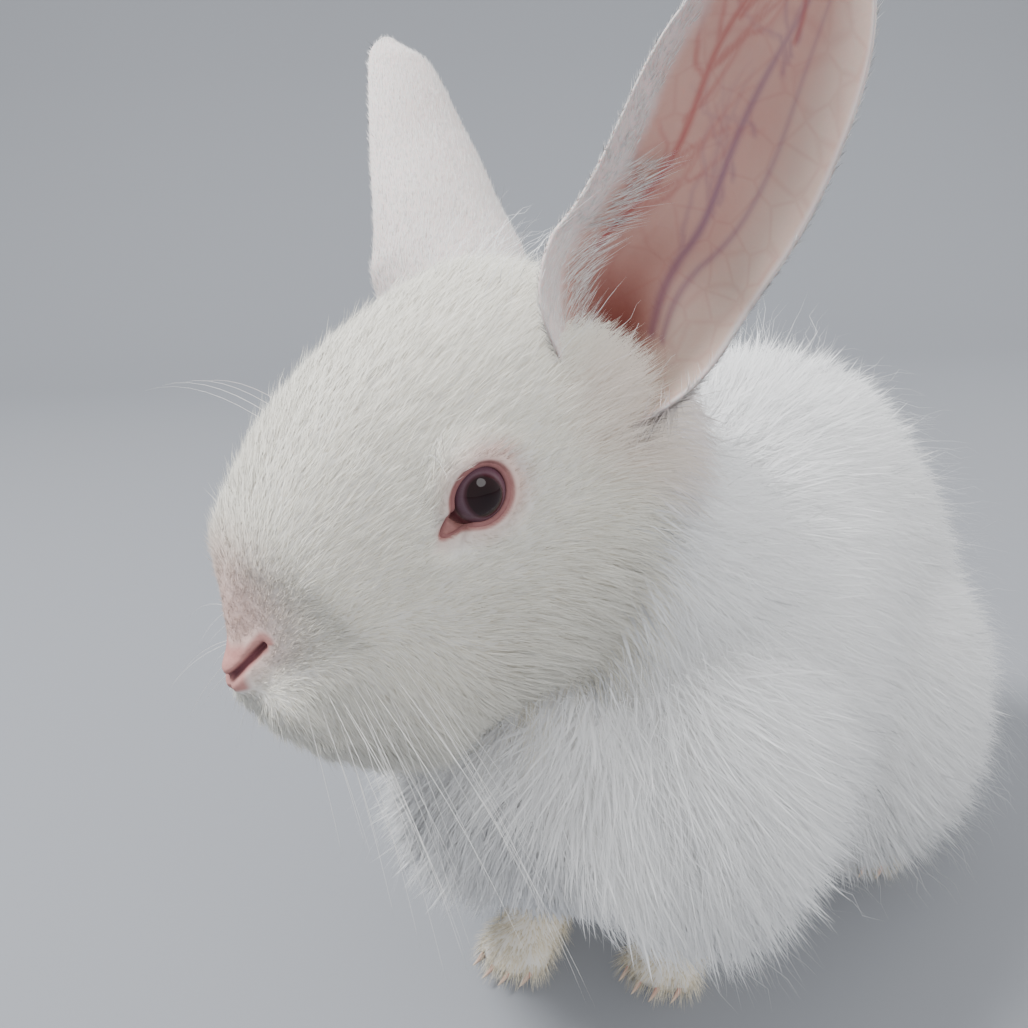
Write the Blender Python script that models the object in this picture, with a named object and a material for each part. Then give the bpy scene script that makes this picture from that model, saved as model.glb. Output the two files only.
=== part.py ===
"""A sitting angora rabbit, life size, as a still model in named pieces.

Metres, +Z up, the rabbit faces -Y and its left side is +X. The origin is on the floor, at the
middle of the model's box. Each piece of the body is one closed solid, and pieces that touch keep
a gap of 0.3 mm. The long wool of the body is built as flat tapered locks on a core, and the
short coat of the head, ears and feet is the plain outer surface of those pieces.
"""

import math
import random

import bmesh
import bpy
import numpy as np
from mathutils import Matrix, Vector
from mathutils.bvhtree import BVHTree

MM = 0.001
GAP = 0.3 * MM
SEED = 7

# The head: its own axis runs from nape to nose, along S, with T up from it and B to the left.
HEAD_CENTRE = Vector((-20, -117, 190)) * MM
HEAD_TURN = math.radians(-16)
HEAD_PITCH = math.radians(33)
HEAD_ROLL = math.radians(-2)
HEAD_RINGS, HEAD_SIDES = 19, 22
# Place along S, then the height of the top, bottom and widest line, and the half width, in mm.
HEAD_STATIONS = (
    (-68, 21, -44, -16, 31),
    (-54, 32, -54, -17, 37),
    (-34, 40, -61, -19, 43),
    (-12, 44, -65, -20, 45),
    (8, 45, -66, -19, 43),
    (26, 43, -66, -18, 39.5),
    (42, 38, -64, -17, 35.5),
    (55, 31.5, -60, -15, 32),
    (66, 24, -54, -14, 28),
    (81, 13, -47, -12, 23),
)
MUZZLE_ROUND_FROM, MUZZLE_END = 50, 80
NAPE_ROUND_FROM, NAPE_END = -36, -70
EYE_PLACE = (7.5, 32.5, 6.5)
EYE_RADIUS = 7.4 * MM
EYE_FORWARD, EYE_UP = 0.16, 0.12
LID_OVER = 2.2 * MM
LID_OPENING = (14.2, 12.6)
NOSE_PLACE = (76.5, 0, 1)
NOSTRIL_OUT, NOSTRIL_TILT = 4.6, math.radians(38)
MOUTH_PLACE = (76, 0, -20)

# The ears, measured from the root in the head to the tip.
EAR_LENGTHS = {1: 126 * MM, -1: 133 * MM}
EAR_SWING = math.radians(17)
EAR_WIDTH = 50 * MM
EAR_THICK = 2.4 * MM
EAR_ROOT = (-43, 27, -9)
EAR_LEFT_LEAN = (math.radians(35), math.radians(-3))
EAR_RIGHT_LEAN = (math.radians(38), math.radians(13))
EAR_ROWS, EAR_COLUMNS = 14, 10

# The core of the woolly body: place along Y, then top, bottom and half width, in mm.
TORSO_STATIONS = (
    (-118, 98, 62, 24),
    (-106, 120, 48, 36),
    (-84, 138, 38, 47),
    (-55, 153, 34, 53),
    (-20, 167, 30, 59),
    (15, 177, 27, 63),
    (45, 180, 26, 65),
    (78, 170, 26, 61),
    (102, 143, 32, 52),
    (120, 100, 44, 34),
)
TORSO_RINGS, TORSO_SIDES = 20, 20
HAUNCH_CENTRE = Vector((42, 43, 66)) * MM
HAUNCH_RADII = Vector((40, 57, 58)) * MM
SHOULDER_CENTRE = Vector((26, -66, 88)) * MM
SHOULDER_RADII = Vector((33, 40, 50)) * MM
NECK_LINE = ((0, -45, 116, 50), (-5, -64, 148, 44), (-10, -82, 172, 39), (-14, -94, 184, 32))

# Where the body is parted: a point and the way towards the head.
HEAD_CUT = (Vector((-9, -80, 178)) * MM, Vector((-0.27, -0.93, 0.24)))
NECK_CUT = (Vector((0, -60, 158)) * MM, Vector((0, -0.72, 0.69)))
CHEST_CUT_Y = -14 * MM
HAUNCH_CUT_X = 46 * MM

# The wool: one lock's length, width and thickness, and how far apart the roots stand.
LOCK_LENGTH = 47 * MM
LOCK_WIDTH = 29 * MM
LOCK_THICK = 7.5 * MM
LOCK_SPACING = 29.4 * MM
LOCK_SUNK = 7 * MM
# Middles of the body that the roots of its locks are spread round.
BODY_MIDDLES = [Vector(m) * MM for m in ((0, -80, 150), (0, -60, 90), (0, 0, 95), (0, 60, 90))]
# Rows of cheek locks: place along S, first and last angle round the head, and how many.
CHEEK_ROWS = ((6, -44, -12, 3), (22, -56, -16, 4), (38, -52, -26, 3))
LOWEST_WOOL, LOWEST_CHEST = 6 * MM, 32 * MM

# The feet, at the left side.
FORE_PAWS = {"left": Vector((23, -56, 0)) * MM, "right": Vector((-23, -76, 0)) * MM}
FORE_TOP = Vector((26, -56, 86)) * MM
HIND_FOOT_X, HIND_HEEL_Y, HIND_TOE_Y = 60 * MM, 116 * MM, 26 * MM
TAIL_CENTRE = Vector((0, 128, 60)) * MM
TAIL_RADII = Vector((20, 15, 24)) * MM


def head_axes():
    """The head's own directions: forward S, left B and up T."""
    turn = Matrix.Rotation(HEAD_TURN, 3, "Z") @ Matrix.Rotation(HEAD_PITCH, 3, "X")
    roll = Matrix.Rotation(HEAD_ROLL, 3, "Y")
    frame = turn @ roll
    return frame @ Vector((0, -1, 0)), frame @ Vector((1, 0, 0)), frame @ Vector((0, 0, 1))


S_WAY, B_WAY, T_WAY = head_axes()


def head_point(s, b, t):
    """A place given in mm along the head's own directions."""
    return HEAD_CENTRE + (float(s) * S_WAY + float(b) * B_WAY + float(t) * T_WAY) * MM


def paint(name, colour, roughness):
    """A plain finish of one colour."""
    made = bpy.data.materials.new(name)
    made.use_nodes = True
    shader = made.node_tree.nodes["Principled BSDF"]
    shader.inputs["Base Color"].default_value = (*colour, 1)
    shader.inputs["Roughness"].default_value = roughness
    shader.inputs["Metallic"].default_value = 0
    made.diffuse_color = (*colour, 1)
    return made


def new_object(name, points, faces):
    mesh = bpy.data.meshes.new(name)
    mesh.from_pydata([tuple(p) for p in points], [], faces)
    mesh.validate()
    made = bpy.data.objects.new(name, mesh)
    bpy.context.scene.collection.objects.link(made)
    return made


def face_out(obj):
    """Turns every face of a closed mesh outwards."""
    work = bmesh.new()
    work.from_mesh(obj.data)
    bmesh.ops.recalc_face_normals(work, faces=work.faces)
    work.to_mesh(obj.data)
    work.free()
    return obj


def loft(name, rings):
    """A closed skin over rings of points, all with the same count, and flat at both ends."""
    count = len(rings[0])
    points = [p for ring in rings for p in ring]
    faces = [tuple(range(count)), tuple(reversed(range(len(points) - count, len(points))))]
    for i in range(len(rings) - 1):
        for k in range(count):
            a, b = i * count + k, i * count + (k + 1) % count
            faces.append((a, a + count, b + count, b))
    return face_out(new_object(name, points, faces))


def between(stations, at):
    """The stations' other columns at a place in their first, on a smooth curve through them."""
    places = [row[0] for row in stations]
    values = np.array([row[1:] for row in stations], float)
    slopes = np.gradient(values, places, axis=0)
    i = min(max(int(np.searchsorted(places, at)) - 1, 0), len(places) - 2)
    step = places[i + 1] - places[i]
    u = (at - places[i]) / step
    return (
        (2 * u**3 - 3 * u**2 + 1) * values[i]
        + (u**3 - 2 * u**2 + u) * step * slopes[i]
        + (3 * u**2 - 2 * u**3) * values[i + 1]
        + (u**3 - u**2) * step * slopes[i + 1]
    )


def oval(top, bottom, widest, half, sides, power=2.15):
    """(across, up) round an egg-like outline whose widest line isn't at its middle."""
    made = []
    for k in range(sides):
        angle = 2 * math.pi * (k + 0.5) / sides
        c, s = math.cos(angle), math.sin(angle)
        across = half * math.copysign(abs(c) ** (2 / power), c)
        reach = (top - widest) if s > 0 else (widest - bottom)
        made.append((across, widest + reach * math.copysign(abs(s) ** (2 / power), s)))
    return made


def ellipsoid(name, centre, radii, turn=None, rings=10, sides=16):
    made = bpy.data.objects.new(name, bpy.data.meshes.new(name))
    bpy.context.scene.collection.objects.link(made)
    work = bmesh.new()
    bmesh.ops.create_uvsphere(work, u_segments=sides, v_segments=rings, radius=1)
    work.to_mesh(made.data)
    work.free()
    place = Matrix.Translation(centre)
    if turn is not None:
        place = place @ turn.to_4x4()
    made.data.transform(place @ Matrix.Diagonal((*radii, 1)))
    return made


def axes_matrix(x, y, z):
    """The rotation whose columns are three directions at right angles."""
    return Matrix((x, y, z)).transposed()


def delete(objects):
    for obj in objects:
        bpy.data.objects.remove(obj)


def apply_boolean(obj, operation, other, solver="MANIFOLD"):
    """Joins or cuts obj with an object or a collection, and applies it."""
    cut = obj.modifiers.new("boolean", "BOOLEAN")
    cut.operation = operation
    cut.solver = solver
    if isinstance(other, bpy.types.Collection):
        cut.operand_type = "COLLECTION"
        cut.collection = other
    else:
        cut.object = other
    graph = bpy.context.evaluated_depsgraph_get()
    graph.update()
    made = bpy.data.meshes.new_from_object(obj.evaluated_get(graph))
    obj.modifiers.clear()
    obj.data = made
    return obj


def largest_only(obj):
    """Drops every closed surface but the largest, as loose scraps and sealed hollows."""
    work = bmesh.new()
    work.from_mesh(obj.data)
    bmesh.ops.remove_doubles(work, verts=work.verts, dist=2e-6)
    bmesh.ops.triangulate(work, faces=work.faces)
    left, groups = set(work.verts), []
    while left:
        start = left.pop()
        group, front = {start}, [start]
        while front:
            for edge in front.pop().link_edges:
                for vert in edge.verts:
                    if vert in left:
                        left.discard(vert)
                        group.add(vert)
                        front.append(vert)
        groups.append(group)
    keep = max(groups, key=lambda g: span_of(g))
    drop = [v for group in groups if group is not keep for v in group]
    bmesh.ops.delete(work, geom=drop, context="VERTS")
    work.to_mesh(obj.data)
    work.free()
    return obj


def span_of(verts):
    """The size of the box round some vertices."""
    co = np.array([v.co for v in verts])
    return float(np.prod(co.max(0) - co.min(0) + 1e-6))


def union(name, pieces):
    """One closed solid from overlapping closed pieces."""
    group = bpy.data.collections.new(name + "_pieces")
    bpy.context.scene.collection.children.link(group)
    base, rest = pieces[0], pieces[1:]
    for piece in rest:
        group.objects.link(piece)
    apply_boolean(base, "UNION", group)
    delete(rest)
    bpy.data.collections.remove(group)
    base.name = name
    return largest_only(base)


def minus(obj, *cutters, keep=False):
    for cutter in cutters:
        apply_boolean(obj, "DIFFERENCE", cutter)
    if not keep:
        delete(cutters)
    return largest_only(obj)


def copy_of(obj, name):
    made = obj.copy()
    made.data = obj.data.copy()
    made.name = name
    bpy.context.scene.collection.objects.link(made)
    return made


def beyond(point, way):
    """A large block that fills the side of a plane that the way points to, half a gap off it."""
    side = 0.6
    way = way.normalized()
    across = way.orthogonal().normalized()
    turn = axes_matrix(across, way.cross(across), way)
    made = bpy.data.objects.new("block", bpy.data.meshes.new("block"))
    bpy.context.scene.collection.objects.link(made)
    work = bmesh.new()
    bmesh.ops.create_cube(work, size=1)
    work.to_mesh(made.data)
    work.free()
    centre = point + way * (side / 2 + GAP / 2)
    made.data.transform(Matrix.Translation(centre) @ turn.to_4x4() @ Matrix.Scale(side, 4))
    return made


def part_off(obj, name, *planes):
    """A copy of obj that keeps only what lies on the far side of every plane."""
    made = copy_of(obj, name)
    for point, way in planes:
        block = beyond(point, way)
        apply_boolean(made, "INTERSECT", block)
        delete([block])
    return largest_only(made)


def head_loft(name, grow=0.0):
    """The head's outer surface from nape to nose, grown by so many mm."""
    rings = []
    start, end = NAPE_END - grow, MUZZLE_END + grow
    for i in range(HEAD_RINGS):
        s = start + (end - start) * (1 - math.cos(math.pi * i / (HEAD_RINGS - 1))) / 2
        s = min(max(s, start + 0.4), end - 0.35)
        top, bottom, widest, half = between(HEAD_STATIONS, s)
        round_off = max(0.0, (s - MUZZLE_ROUND_FROM) / (end - MUZZLE_ROUND_FROM))
        nape_off = max(0.0, (NAPE_ROUND_FROM - s) / (NAPE_ROUND_FROM - start))
        share = math.sqrt(max(0.0, 1 - round_off**2.3 - nape_off**2.4))
        middle = widest - 2 * round_off
        top = middle + (top + grow - middle) * share
        bottom = middle + (bottom - grow - middle) * share
        outline = oval(top, bottom, middle, (half + grow) * share, HEAD_SIDES)
        rings.append([head_point(s, b, t) for b, t in outline])
    return loft(name, rings)


def eye_frame(side):
    """The middle of an eye and the way it looks, with its own across and up."""
    s, b, t = EYE_PLACE
    centre = head_point(s, side * b, t)
    out = (side * B_WAY + EYE_FORWARD * S_WAY + EYE_UP * T_WAY).normalized()
    up = (T_WAY - T_WAY.dot(out) * out).normalized()
    return centre, out, up.cross(out).normalized(), up


def lid_opening(side):
    """A bar with an almond section, which cuts the opening between the lids."""
    centre, out, across, up = eye_frame(side)
    wide, high = LID_OPENING
    front = 1 if across.dot(S_WAY) > 0 else -1
    ends = []
    for depth in (0, 22 * MM):
        ring = []
        for k in range(18):
            angle = 2 * math.pi * k / 18
            x = wide / 2 * math.cos(angle)
            y = high / 2 * math.sin(angle) * (1 - 0.18 * abs(math.cos(angle)) ** 3)
            if math.cos(angle) > 0.6:
                x += 2.2 * (math.cos(angle) - 0.6) / 0.4
                y -= 2.0 * (math.cos(angle) - 0.6) / 0.4
            flare = 1 + 0.25 * depth / (22 * MM)
            ring.append(centre + out * depth + (front * x * across + y * up) * MM * flare)
        ends.append(ring)
    return loft("opening", ends)


def slit(centre, length_way, length, depth_way, depth, width):
    """A thin ellipsoid that cuts a line into the surface."""
    length_way = length_way.normalized()
    depth_way = (depth_way - depth_way.dot(length_way) * length_way).normalized()
    turn = axes_matrix(length_way, depth_way, length_way.cross(depth_way))
    return ellipsoid("slit", centre, Vector((length, depth, width)) * MM / 2, turn, 6, 8)


def nose_and_mouth():
    """The raised rims of the nostrils and upper lips, and what is cut: slits and lines."""
    added, cut = [], []
    s, b, t = NOSE_PLACE
    for side in (1, -1):
        rim = head_point(s - 2.2, side * 4.2 + 0.17, t + 0.4)
        added.append(ellipsoid("rim", rim, Vector((5.4, 4.6, 4.2)) * MM, None, 6, 9))
        lip = head_point(s - 6.5, side * 7.2 - 0.13, t - 12.5)
        turn = axes_matrix(S_WAY, B_WAY, T_WAY)
        added.append(ellipsoid("lip", lip, Vector((9.5, 9, 10)) * MM, turn, 8, 12))
        tilt = side * math.cos(NOSTRIL_TILT) * B_WAY + math.sin(NOSTRIL_TILT) * T_WAY
        place = head_point(s + 2.2, side * NOSTRIL_OUT, t - 0.2)
        cut.append(slit(place, tilt, 7.6, S_WAY, 7, 1.7))
        corner = side * B_WAY * 0.92 - T_WAY * 0.1 - S_WAY * 0.5
        mouth = head_point(MOUTH_PLACE[0] - 3, side * 7.4 + 0.09, MOUTH_PLACE[2] - 5.5 + side * 0.06)
        cut.append(slit(mouth, corner, 20, S_WAY, 9, 1.5))
    cleft = head_point(s + 2.5, 0.07, t - 9.5)
    cut.append(slit(cleft, T_WAY, 13, S_WAY, 6.5, 1.4))
    return added, cut


def head():
    """The head with lids, nostrils, cleft lip, mouth line and the longer hair of the cheeks."""
    pieces = [head_loft("head")]
    cutters = []
    for side in (1, -1):
        centre, out, across, up = eye_frame(side)
        turn = axes_matrix(across, up, out)
        lid = Vector((EYE_RADIUS + LID_OVER * 1.7, EYE_RADIUS + LID_OVER, EYE_RADIUS + LID_OVER))
        pieces.append(ellipsoid("lid", centre, lid, turn, 10, 14))
        round_eye = Vector((1, 1, 1)) * (EYE_RADIUS + GAP)
        cutters.append(ellipsoid("socket", centre, round_eye, turn, 10, 16))
        cutters.append(lid_opening(side))
    added, cut = nose_and_mouth()
    pieces += added + cheek_locks()
    made = union("head", pieces)
    minus(made, *cutters, *cut)
    block = beyond(*HEAD_CUT)
    apply_boolean(made, "INTERSECT", block)
    delete([block])
    return largest_only(made)


def eye(name, side):
    """The ball of an eye, with the clear front a little proud."""
    centre, out, across, up = eye_frame(side)
    turn = axes_matrix(across, up, out)
    return ellipsoid(name, centre, Vector((1, 1, 1)) * EYE_RADIUS, turn, 12, 16)


def ear_sheet(u, v, side, lean):
    """A point of the ear's middle surface, and its outward way: u from root to tip, v across."""
    out, back = lean
    up_way = Matrix.Rotation(HEAD_TURN, 3, "Z") @ Vector(
        (side * math.sin(out), math.sin(back) * math.cos(out), math.cos(out) * math.cos(back))
    )
    face = Vector((0.62, -0.75, 0)) if side > 0 else Vector((-0.95, 0.22, 0))
    front = Matrix.Rotation(HEAD_TURN, 3, "Z") @ face
    front = (front - front.dot(up_way) * up_way).normalized()
    across = front.cross(up_way).normalized()
    bow = u**2
    spine = up_way * EAR_LENGTHS[side] * u - front * 3 * MM * math.sin(math.pi * u)
    spine += -front * 5 * MM * bow
    flare = math.exp(-(((u - 0.22) / 0.15) ** 2))
    half_turn = math.radians(152 - 98 * min(1, u / 0.34) ** 0.75 - 20 * max(0, (u - 0.34) / 0.66))
    rounded = math.sqrt(max(0.0, 1 - (max(0.0, u - 0.45) / 0.55) ** 2.35))
    width = EAR_WIDTH * (0.86 + 0.18 * min(1, u / 0.45) + 0.3 * flare) * rounded
    width = max(width, 1.5 * MM)
    radius = width / 2 / half_turn
    angle = v * half_turn + side * EAR_SWING * flare
    middle = spine + front * (radius - 6 * MM * min(1, u / 0.3) * (1 - u) - 2 * MM)
    way = -front * math.cos(angle) + across * math.sin(angle)
    return head_point(*[EAR_ROOT[0], side * EAR_ROOT[1], EAR_ROOT[2]]) + middle + way * radius, way


def ear(name, side, lean, skull):
    """One ear: a rolled thin shell that opens to a cup, on a short root, cut to the skull."""
    outer, inner = [], []
    for i in range(EAR_ROWS):
        u = 0.02 + 0.975 * math.sin(i / (EAR_ROWS - 1) * math.pi / 2)
        thick = EAR_THICK * (1.25 - 0.55 * u)
        for j in range(EAR_COLUMNS):
            v = -1 + 2 * j / (EAR_COLUMNS - 1)
            point, way = ear_sheet(u, v, side, lean)
            edge = 1 - 0.55 * abs(v) ** 3
            outer.append(point + way * thick * edge / 2)
            inner.append(point - way * thick * edge / 2)
    n, count = EAR_COLUMNS, len(outer)
    faces = []
    for i in range(EAR_ROWS - 1):
        for j in range(n - 1):
            a, b, c, d = i * n + j, i * n + j + 1, (i + 1) * n + j + 1, (i + 1) * n + j
            faces += [(a, b, c), (a, c, d)]
            faces += [(count + a, count + c, count + b), (count + a, count + d, count + c)]
    border = [j for j in range(n)] + [i * n + n - 1 for i in range(1, EAR_ROWS)]
    border += [(EAR_ROWS - 1) * n + j for j in range(n - 2, -1, -1)]
    border += [i * n for i in range(EAR_ROWS - 2, 0, -1)]
    for a, b in zip(border, border[1:] + border[:1]):
        faces += [(b, a, count + a), (b, count + a, count + b)]
    shell = face_out(new_object(name, outer + inner, faces))
    root = head_point(EAR_ROOT[0], side * EAR_ROOT[1], EAR_ROOT[2])
    tube = [ear_sheet(u, 0, side, lean)[0] for u in (0, 0.1)]
    middle = sum((ear_sheet(0.06, v, side, lean)[0] for v in (-1, -0.5, 0, 0.5, 1)), Vector()) / 5
    way = (tube[1] - tube[0]).normalized()
    turn = axes_matrix(way.orthogonal().normalized(), way.cross(way.orthogonal().normalized()), way)
    plug = ellipsoid("plug", (root + middle) / 2, Vector((8.6, 8.6, 13)) * MM, turn, 8, 12)
    made = union(name, [shell, plug])
    return minus(made, skull, keep=True)


def lowest_wool(y):
    """How low the wool may hang: clear of the floor, and higher in front of the forelegs."""
    if y > -40 * MM:
        return LOWEST_WOOL
    return LOWEST_CHEST + max(0.0, -95 * MM - y) * 0.5


def lock(root, out, lie, length, width, thick, drop, twist):
    """One flat tapered lock: it leaves the surface, then bends over along the lie."""
    steps = (0.0, 0.3, 0.62, 1.0)
    sizes = (0.8, 1.0, 0.72, 0.0)
    here, way = root - out * LOCK_SUNK, out.copy()
    rings, last = [], 0.0
    total = length + LOCK_SUNK
    for step, size in zip(steps, sizes):
        lean = min(1.0, 0.35 + 0.65 * step)
        way = (out * (1.05 - 0.8 * step) + lie * lean - Vector((0, 0, drop * step))).normalized()
        here = here + way * total * (step - last)
        here.z = max(here.z, lowest_wool(here.y))
        last = step
        across = way.cross(out)
        if across.length < 0.1:
            across = lie.cross(out)
        across = (Matrix.Rotation(twist, 3, way) @ across).normalized()
        face = across.cross(way).normalized()
        if size == 0.0:
            rings.append([here])
            break
        w, t = width * size / 2, thick * size / 2
        rings.append([here + across * w, here + face * t, here - across * w, here - face * t])
    points = [p for ring in rings for p in ring]
    faces = [(0, 1, 2, 3)]
    for i in range(len(rings) - 2):
        for k in range(4):
            a, b = i * 4 + k, i * 4 + (k + 1) % 4
            faces += [(a, a + 4, b + 4), (a, b + 4, b)]
    tip = len(points) - 1
    faces += [(tip - 4 + k, tip - 4 + (k + 1) % 4, tip) for k in range(4)]
    return face_out(new_object("lock", points, faces))


def spread_roots(obj, middles, spacing, accept, rng):
    """Points on a surface, evenly spread, each with the smooth way out of it.

    They are where rays from all round towards the middles first meet the surface, so they
    don't depend on how the surface happens to be split into triangles.
    """
    surface = BVHTree.FromObject(obj, bpy.context.evaluated_depsgraph_get())
    count = 2600
    height = 1 - 2 * (np.arange(count) + 0.5) / count
    turn = np.arange(count) * math.pi * (3 - math.sqrt(5))
    level = np.sqrt(1 - height**2)
    ways = np.stack([level * np.cos(turn), level * np.sin(turn), height], axis=1)
    at, out = [], []
    for middle in middles:
        for way in ways:
            place, normal, _, _ = surface.ray_cast(middle + Vector(way) * 0.5, -Vector(way))
            if place is not None:
                at.append(place[:])
                out.append(normal[:])
    at, out = np.array(at), np.array(out)
    order = rng.permutation(len(at))
    chosen = []
    for k in order:
        p = at[k]
        if not accept(p, out[k]):
            continue
        if all(np.linalg.norm(p - q) > spacing for q, _ in chosen):
            near = np.linalg.norm(at - p, axis=1) < 12 * MM
            chosen.append((p, out[near].mean(axis=0)))
    return [(Vector(p), Vector(n).normalized()) for p, n in chosen]


def wool_lie(p, n):
    """The way the wool lies at a point of the body: back and down, and down on the chest."""
    front, rear = max(0.0, -n.y), max(0.0, n.y)
    flow = Vector((0.25 * n.x, 0.85 - 0.9 * front - 0.4 * rear, -0.25 - 0.55 * abs(n.x)))
    flow.z -= 1.0 * front + 0.9 * rear
    if n.z < -0.5:
        flow.z = 0
    flat = flow - flow.dot(n) * n
    return flat.normalized() if flat.length > 1e-4 else n.orthogonal().normalized()


def wool_locks(core):
    """The locks of the neck, chest, back, flanks, rump and haunches."""
    rng = np.random.default_rng(SEED)
    dice = random.Random(SEED)
    neck_point, neck_way = NECK_CUT
    head_cut_point, head_cut_way = HEAD_CUT

    def accept(p, n):
        ahead = (Vector(p) - head_cut_point).dot(head_cut_way)
        under_head = p[2] > 0.1 and ahead > -3 * MM
        return not under_head and n[2] > -0.62

    made = []
    for root, out in spread_roots(core, BODY_MIDDLES, LOCK_SPACING, accept, rng):
        neck = (root - neck_point).dot(neck_way)
        share = 0.62 if neck > 0 and root.z > 0.13 else 1.0
        if out.z < -0.35 or out.y < -0.6:
            share *= 0.72
        size = share * dice.uniform(0.85, 1.12)
        twist = dice.uniform(-0.35, 0.35)
        drop = 0.25 + 0.25 * abs(out.x) + 0.5 * max(0.0, -out.y)
        width = LOCK_WIDTH * dice.uniform(0.85, 1.15) * (0.6 + 0.4 * share)
        lie = wool_lie(root, out)
        made.append(lock(root, out, lie, LOCK_LENGTH * size, width, LOCK_THICK, drop, twist))
    return made


def cheek_locks():
    """The longer hair behind and under each cheek, lying back and down."""
    dice = random.Random(SEED + 1)
    made = []
    for side in (1, -1):
        for s, angle_from, angle_to, count in CHEEK_ROWS:
            top, bottom, widest, half = between(HEAD_STATIONS, s)
            for k in range(count):
                angle = math.radians(angle_from + (angle_to - angle_from) * k / (count - 1))
                c, q = math.cos(angle), math.sin(angle)
                reach = (top - widest) if q > 0 else (widest - bottom)
                root = head_point(s, side * half * c, widest + reach * q)
                out = (side * c * B_WAY + q * T_WAY).normalized()
                lie = (-S_WAY * 0.8 - Vector((0, 0, 0.6))).normalized()
                lie = (lie - lie.dot(out) * out).normalized()
                size = dice.uniform(0.85, 1.15)
                made.append(lock(root, out, lie, 21 * MM * size, 15 * MM, 4 * MM, 0.3, 0))
    return made


def neck_tube(name):
    rings = []
    line = [Vector(row[:3]) * MM for row in NECK_LINE]
    for i, row in enumerate(NECK_LINE):
        way = (line[min(i + 1, 3)] - line[max(i - 1, 0)]).normalized()
        across = Vector((1, 0, 0))
        across = (across - across.dot(way) * way).normalized()
        up = way.cross(across)
        ring = []
        for k in range(16):
            angle = 2 * math.pi * k / 16
            ring.append(line[i] + (across * math.cos(angle) + up * math.sin(angle)) * row[3] * MM)
        rings.append(ring)
    return loft(name, rings)


def torso_loft(name):
    rings = []
    start, end = TORSO_STATIONS[0][0], TORSO_STATIONS[-1][0]
    for i in range(TORSO_RINGS):
        y = start + (end - start) * (1 - math.cos(math.pi * i / (TORSO_RINGS - 1))) / 2
        top, bottom, half = between(TORSO_STATIONS, y)
        outline = oval(top, bottom, (top + bottom * 1.3) / 2.3, half, TORSO_SIDES)
        rings.append([Vector((x, y, z)) * MM for x, z in outline])
    return loft(name, rings)


def woolly_body():
    """The whole of the neck, trunk and haunches with their wool, before it is parted."""
    core = [torso_loft("core"), neck_tube("neck_core")]
    for side in (1, -1):
        flip = Vector((side, 1, 1))
        core.append(ellipsoid("haunch", HAUNCH_CENTRE * flip, HAUNCH_RADII, None, 10, 16))
        core.append(ellipsoid("shoulder", SHOULDER_CENTRE * flip, SHOULDER_RADII, None, 10, 14))
    core = union("core", core)
    return union("body", [core] + wool_locks(core))


def foreleg(name, side, grow=0.0):
    """A foreleg from the elbow in the chest wool to the paw with its four toes."""
    paw = FORE_PAWS["left" if side > 0 else "right"]
    top = Vector((side * FORE_TOP.x, FORE_TOP.y + (paw.y + 75 * MM) * 0.5, FORE_TOP.z))
    wrist = paw + Vector((0, 12, 20)) * MM
    sole = paw + Vector((0, 4, 9)) * MM
    line = ((top, 15), (top.lerp(wrist, 0.55), 12.5), (wrist, 11.5), (sole, 12.5))
    rings = []
    for i, (point, radius) in enumerate(line):
        way = (line[min(i + 1, 3)][0] - line[max(i - 1, 0)][0]).normalized()
        across = Vector((1, 0, 0))
        up = way.cross(across).normalized()
        radius = (radius + grow) * MM
        ring = [
            point + (across * math.cos(math.tau * k / 14) + up * math.sin(math.tau * k / 14)) * radius
            for k in range(14)
        ]
        rings.append(ring)
    rings[0] = [point + Vector((0, 0, grow * MM)) for point in rings[0]]
    pieces = [loft(name, rings)]
    pad = Vector((13.5 + grow, 17 + grow, 12 + grow)) * MM
    pieces.append(ellipsoid("pad", paw + Vector((0, -2, 9)) * MM, pad, None, 8, 14))
    for k in range(4):
        spread = (k - 1.5) * 6.4
        ahead = -15 + 1.6 * (k - 1.5) ** 2
        toe = Vector((4.7 + grow, 9 + grow, 7.2 + grow)) * MM
        pieces.append(ellipsoid("toe", paw + Vector((spread, ahead, 6.4)) * MM, toe, None, 6, 8))
    made = union(name, pieces)
    block = beyond(Vector((0, 0, -GAP / 2)), Vector((0, 0, 1)))
    apply_boolean(made, "INTERSECT", block)
    delete([block])
    return largest_only(made)


def hind_foot(side):
    """The long hind foot, flat on the floor under the haunch, with its four toes."""
    middle = (HIND_HEEL_Y + HIND_TOE_Y) / 2
    half = (HIND_HEEL_Y - HIND_TOE_Y) / 2
    x = side * HIND_FOOT_X
    sole = Vector((x, middle, 11 * MM))
    hock = Vector((x, HIND_HEEL_Y - 22 * MM, 30 * MM))
    pieces = [ellipsoid("sole", sole, Vector((12.5 * MM, half, 14 * MM)), None, 10, 18)]
    for k in range(4):
        ahead = 4 + 1.4 * (k - 1.5) ** 2
        place = Vector((x, HIND_TOE_Y, 0)) + Vector(((k - 1.5) * 5.6, ahead, 6)) * MM
        pieces.append(ellipsoid("toe", place, Vector((4.3, 12, 6.6)) * MM, None, 6, 8))
    pieces.append(ellipsoid("hock", hock, Vector((13, 26, 26)) * MM, None, 8, 14))
    return pieces


def tail():
    """The short tail, a puff of wool that lies up against the rump."""
    rng = np.random.default_rng(SEED + 2)
    core = ellipsoid("tail", TAIL_CENTRE, TAIL_RADII, None, 10, 14)
    roots = spread_roots(core, [TAIL_CENTRE], 17 * MM, lambda p, n: n[1] > -0.2, rng)
    locks = []
    for root, out in roots:
        lie = Vector((0, 0.25, 1)) - Vector((0, 0.25, 1)).dot(out) * out
        lie = lie.normalized() if lie.length > 1e-3 else out.orthogonal()
        locks.append(lock(root, out, lie, 22 * MM, 17 * MM, 6 * MM, 0.0, 0.0))
    return union("tail", [core] + locks)


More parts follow.
